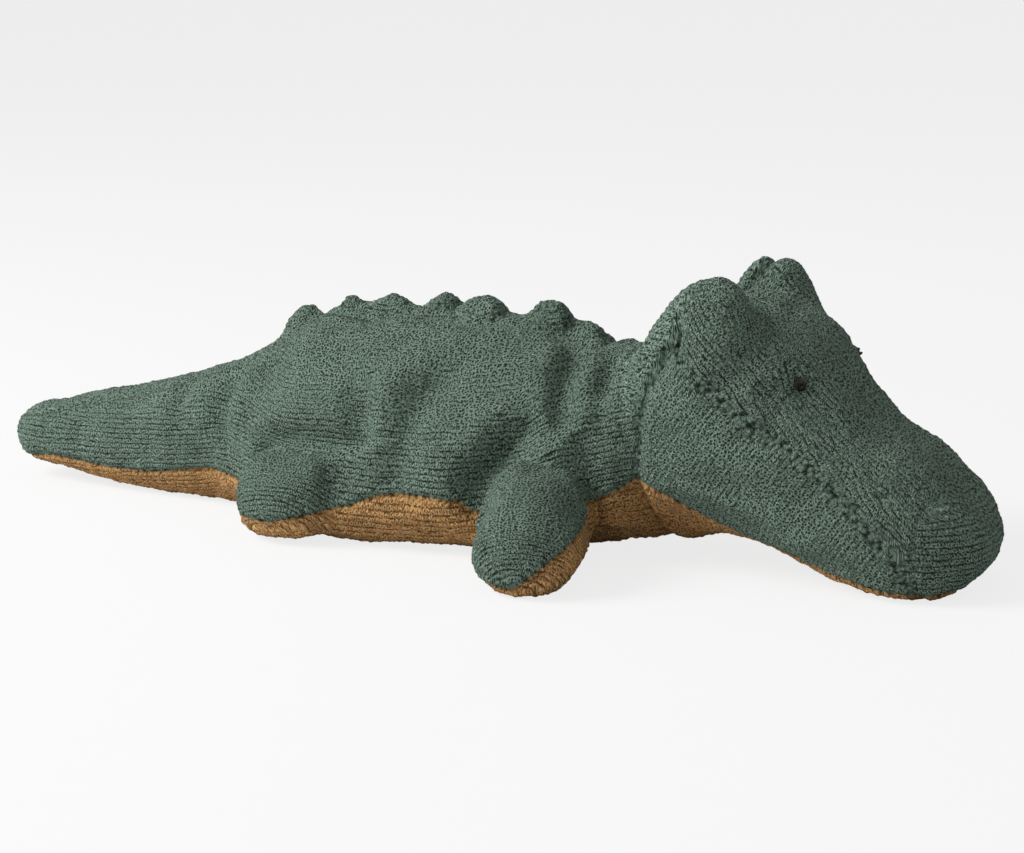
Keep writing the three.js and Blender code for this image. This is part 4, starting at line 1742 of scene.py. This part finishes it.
    def pieces(self, skin: Skin) -> list[Piece]:
        """Cuts the skin into the panels.

        Args:
            skin: The skin.

        Returns:
            The pieces. Together they take all of the skin.
        """
        centres = skin.centres
        x, y = centres[:, 0], centres[:, 1]
        green = self.green_above(centres) > 0
        ahead = self.head.ahead(centres) > 0
        cutter = Cutter(np.ones(len(centres), bool))
        bends = self.body.bends()
        skull = ("neck", "head")
        for name, side in SIDES.items():
            bump = self.head.bump_mask(centres, side)
            for end, mask in (("front", ahead), ("rear", ~ahead)):
                node = f"eye_bump_{end}_{name}"
                cutter.cut(node, Panel.GREEN, bump & mask, skull, (node,), bends["nod"])
            cheek = ahead & green & (self.head.above_cheek(centres) < 0) & (y * side > 0)
            node = f"cheek_cover_{name}"
            cutter.cut(node, Panel.GREEN, cheek, skull, (node,), bends["nod"])
        cutter.cut("snout_cover", Panel.GREEN, ahead & green, skull,
                   ("snout_cover", "head_stuffing"), bends["nod"])
        cutter.cut("jaw_cover", Panel.OCHRE, ahead, skull, ("jaw_cover",), bends["nod"])
        for leg in self.legs:
            held, bodies, bend = leg.holds(centres), ("torso", leg.name), leg.bend()
            top, sole = f"{leg.name}_top_cover", f"{leg.name}_sole_cover"
            cutter.cut(top, Panel.GREEN, held & green, bodies, (top, f"{leg.name}_stuffing"), bend)
            cutter.cut(sole, Panel.OCHRE, held, bodies, (sole,), bend)
        for number, mask in enumerate(self.scutes.masks(centres, self.body), 1):
            node = f"spine_scute_{number}"
            cutter.cut(node, Panel.GREEN, mask & (x < self.body.torso_end), ("torso",), (node,))
        upper, lower = (Panel.GREEN, green), (Panel.OCHRE, ~green)
        for cover, inner, (cloth, mask) in (("nape_cover", ("neck_stuffing",), upper),
                                            ("throat_cover", (), lower)):
            cutter.cut(f"{cover}_front", cloth, (x >= self.body.neck_turn_end) & mask, skull,
                       (cover, *inner), bends["nod"])
            cutter.cut(f"{cover}_rear", cloth, (x >= self.body.torso_end) & mask,
                       ("torso", "neck"), (), bends["turn"])
        tail = (("tail_tip", ("tail_root", "tail_tip"), x < self.body.tail_tip_end),
                ("tail_root", ("torso", "tail_root"), x < self.body.tail_root_end))
        for word, (cloth, mask) in (("top", upper), ("under", lower)):
            for part, bodies, reach in tail:
                node = f"{part}_{word}_cover"
                inner = (f"{part}_stuffing",) if word == "top" else ()
                cutter.cut(node, cloth, reach & mask, bodies, (node, *inner), bends[part],
                           self.body.tail_fill)
        for name, side in SIDES.items():
            node = f"back_cover_{name}"
            cutter.cut(node, Panel.GREEN, green & (y * side > 0), ("torso",), (node,))
        cutter.cut("belly_cover", Panel.OCHRE, ~green, ("torso",),
                   ("belly_cover", "torso_stuffing"))
        return cutter.made

    def dress(self, skin: Skin) -> None:
        """Makes the pieces, gives each its cloth and hides the CAD nodes that it stands for.

        A piece without a bend rides on its CAD body; a piece with a bend stays where it is.

        Args:
            skin: The pressed skin.
        """
        materials = {Panel.GREEN: GREEN.material(), Panel.OCHRE: OCHRE.material()}
        for piece in self.pieces(skin):
            quads = skin.quads[piece.mask]
            used, corners = np.unique(quads, return_inverse=True)
            mesh = mesh_of(piece.name, to_scene(skin.points[used]), corners.reshape(-1, 4))
            terry = mesh.attributes.new("terry", "FLOAT_VECTOR", "CORNER")
            terry.data.foreach_set("vector", skin.rows[piece.mask].astype(np.float32).ravel())
            for name, values in (("sewn", skin.sewn), ("row_shade", skin.row_shade)):
                attribute = mesh.attributes.new(name, "FLOAT", "POINT")
                attribute.data.foreach_set("value", values[used].astype(np.float32))
            mesh.materials.append(materials[piece.cloth])
            made = object_of(piece.name, mesh)
            if piece.bend:
                start, end = to_scene(np.array(piece.bend))
                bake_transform(made)
            else:
                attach(made, piece.bodies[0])
            if piece.nodes:
                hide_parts(*piece.nodes)
            log.info("%s: %d faces", piece.name, len(quads))


def tube(path: np.ndarray, radius: float, sides: int = 10) -> Form:
    """Builds a closed round tube along a path.

    Args:
        path: The points it follows.
        radius: Its radius.
        sides: How many sides it has.

    Returns:
        The points, and the faces as tuples of four point numbers.
    """
    ways = np.gradient(path, axis=0)
    ways /= np.linalg.norm(ways, axis=1)[:, None]
    first = np.cross(ways, np.array([0.31, 0.93, 0.19]))
    first /= np.linalg.norm(first, axis=1)[:, None]
    second = np.cross(ways, first)
    angles = np.linspace(0, 2 * math.pi, sides, endpoint=False)
    thick = radius * np.sqrt(np.clip(1 - np.linspace(-1, 1, len(path)) ** 12, 0.05, 1))
    turns = (np.cos(angles)[None, :, None] * first[:, None]
             + np.sin(angles)[None, :, None] * second[:, None])
    rings = path[:, None] + thick[:, None, None] * turns
    faces = ring_faces(len(path), sides)
    last = (len(path) - 1) * sides
    for i in range(sides // 2 - 1):
        faces.append((i, i + 1, sides - 2 - i, sides - 1 - i))
        faces.append((last + i, last + sides - 1 - i, last + sides - 2 - i, last + i + 1))
    return rings.reshape(-1, 3), faces


@dataclass
class Eye:
    """An eye: a small knot of black thread.

    Attributes:
        node: The CAD node that it stands for.
        place: Where it is sewn on.
        thread: Radius of the thread.
        stitches: For each stitch its start and its end across and down the knot, and its bulge.
        root: How deep the stitches' ends are in the cloth.
        rise: How far the first stitch rises from there.
        layer: How much further each next stitch rises.
    """

    node: str
    place: Place
    thread: float = 0.45
    stitches: tuple[tuple[float, float, float, float, float], ...] = (
        (-0.7, -2.4, -0.5, 2.3, -0.6), (-0.2, -2.8, 0.0, 2.7, -0.2), (0.4, -2.6, 0.5, 2.8, 0.3),
        (0.8, -2.1, 0.6, 2.4, 0.6), (-1.1, -1.0, 1.1, 0.3, 0.2), (-0.9, 1.4, 0.9, 1.0, -0.2),
    )

    root: float = 1.0
    rise: float = 1.9
    layer: float = 0.22

    def build(self, skin: Skin) -> bpy.types.Object:
        """Sews the eye on and gives it its finish.

        Args:
            skin: The pressed skin.

        Returns:
            The eye.
        """
        at, normal = skin.nearest(self.place)
        down = np.array([0.35, 0.0, -1.0])
        down -= np.dot(down, normal) * normal
        down /= np.linalg.norm(down)
        across = np.cross(normal, down)
        points, faces, count = [], [], 0
        share = np.linspace(0, 1, 15)
        bow = np.sin(math.pi * share)
        for lift, (x0, y0, x1, y1, bulge) in enumerate(self.stitches):
            side = x0 + (x1 - x0) * share + bulge * bow
            drop = y0 + (y1 - y0) * share
            rise = -self.root + (self.rise + self.layer * lift) * bow**0.6
            path = at + side[:, None] * across + drop[:, None] * down + rise[:, None] * normal
            more, quads = tube(path, self.thread)
            points.append(more)
            faces.append(np.array(quads) + count)
            count += len(more)
        name = f"{self.node}_knot"
        mesh = mesh_of(name, to_scene(np.concatenate(points)), np.concatenate(faces))
        mesh.materials.append(BLACK_THREAD.material())
        made = object_of(name, mesh)
        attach(made, "head")
        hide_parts(self.node)
        log.info("%s: %d faces", name, len(mesh.polygons))
        return made


@dataclass
class Studio:
    """Camera at the photograph's angle, plain pale floor and soft light.

    Attributes:
        azimuth: How far the camera stands ahead of broadside, in degrees.
        elevation: How far it stands above the floor's plane, in degrees.
        distance: Its distance from what it looks at, in metres.
        aim_height: Height of what it looks at, in metres.
        lens: Its lens, in millimetres.
        sensor: Width of its sensor, in millimetres.
        fill: Strength of the even light from all round.
        key_place: Where the key light stands, from the toy's middle, in metres.
        key_size: The key light's width, in metres.
        key_power: The key light's power, in watts.
        floor_reach: Half the floor's width, in metres.
        floor_white: How much of the floor's look to the camera is plain white.
        paper: Darkest and lightest shade of the floor.
        grain: How fine the floor's grain is.
    """

    azimuth: float = 26.0
    elevation: float = 12.0
    distance: float = 0.9
    aim_height: float = 0.038
    lens: float = 87.0
    sensor: float = 36.0
    fill: float = 0.29
    key_place: Place = (-0.95, -0.72, 0.95)
    key_size: float = 0.75
    key_power: float = 19.8
    floor_reach: float = 6.0
    floor_white: float = 0.80
    paper: tuple[float, float] = (0.86, 0.90)
    grain: float = 90.0

    def camera(self) -> None:
        """Sets up the camera."""
        data = bpy.data.cameras.new("camera")
        data.lens = self.lens
        data.sensor_width = self.sensor
        camera = object_of("camera", data)
        a, e = math.radians(self.azimuth), math.radians(self.elevation)
        back = Vector((math.sin(a) * math.cos(e), -math.cos(a) * math.cos(e), math.sin(e)))
        camera.location = ORIGIN + Vector((0.0, 0.0, self.aim_height)) + back * self.distance
        camera.rotation_mode = "QUATERNION"
        camera.rotation_quaternion = (-back).to_track_quat("-Z", "Y")
        bpy.context.scene.camera = camera

    def floor(self) -> None:
        """Lays the floor: pale cloth-like paper that looks near white and keeps the shadow."""
        r = self.floor_reach
        corners = np.array([(-r, -r, 0.0), (r, -r, 0.0), (r, r, 0.0), (-r, r, 0.0)])
        mesh = mesh_of("floor", corners, np.array([(0, 1, 2, 3)]))
        nodes = Nodes(bpy.data.materials.new("floor"))
        place = nodes.add("ShaderNodeTexCoord").outputs["Object"]
        grain = nodes.add("ShaderNodeTexNoise", {"Vector": place, "Scale": self.grain})
        dark, pale = ((shade, shade, shade, 1) for shade in self.paper)
        colour = nodes.ramp(grain.outputs["Fac"], {0.0: dark, 1.0: pale})
        diffuse = nodes.add("ShaderNodeBsdfDiffuse", {"Color": colour})
        white = nodes.add("ShaderNodeEmission", {"Color": WHITE, "Strength": 1.0})
        seen = nodes.maths("MULTIPLY", nodes.add("ShaderNodeLightPath").outputs["Is Camera Ray"],
                           self.floor_white)
        mixed = nodes.add("ShaderNodeMixShader", {
            0: seen, 1: diffuse.outputs["BSDF"], 2: white.outputs["Emission"],
        })
        nodes.add("ShaderNodeOutputMaterial", {"Surface": mixed.outputs["Shader"]})
        mesh.materials.append(nodes.owner)
        object_of("floor", mesh)

    def light(self) -> None:
        """Sets up a white surround, an even fill and a soft key light from the upper left."""
        nodes = Nodes(bpy.data.worlds.new("studio"))
        ray = nodes.add("ShaderNodeLightPath").outputs
        clear = nodes.maths("MAXIMUM", ray["Is Glossy Ray"], ray["Is Transmission Ray"])
        seen = nodes.add("ShaderNodeMath", {0: ray["Is Camera Ray"], 1: clear},
                         operation="ADD", use_clamp=True).outputs[0]
        even, white = (
            nodes.add("ShaderNodeBackground", {"Color": WHITE, "Strength": strength}).outputs[0]
            for strength in (self.fill, 1.0)
        )
        mixed = nodes.add("ShaderNodeMixShader", {0: seen, 1: even, 2: white}).outputs[0]
        nodes.add("ShaderNodeOutputWorld", {"Surface": mixed})
        bpy.context.scene.world = nodes.owner
        lamp = bpy.data.lights.new("key", "AREA")
        lamp.size = self.key_size
        lamp.energy = self.key_power
        key = object_of("key", lamp)
        key.location = ORIGIN + Vector(self.key_place)
        key.rotation_mode = "QUATERNION"
        key.rotation_quaternion = Vector(self.key_place).to_track_quat("Z", "Y")

    def build(self) -> None:
        """Sets up the whole studio."""
        bpy.context.scene.view_settings.view_transform = "Standard"
        self.camera()
        self.floor()
        self.light()


def main() -> None:
    """Builds the crocodile and the studio."""
    logging.basicConfig(level=logging.INFO, format="%(name)s: %(message)s")
    crocodile = Crocodile()
    skin = crocodile.skin()
    crocodile.press(skin)
    crocodile.dress(skin)
    for side, place in EYES.items():
        Eye(f"eye_{side}", place).build(skin)
    Studio().build()


if __name__ == "__main__":
    main()
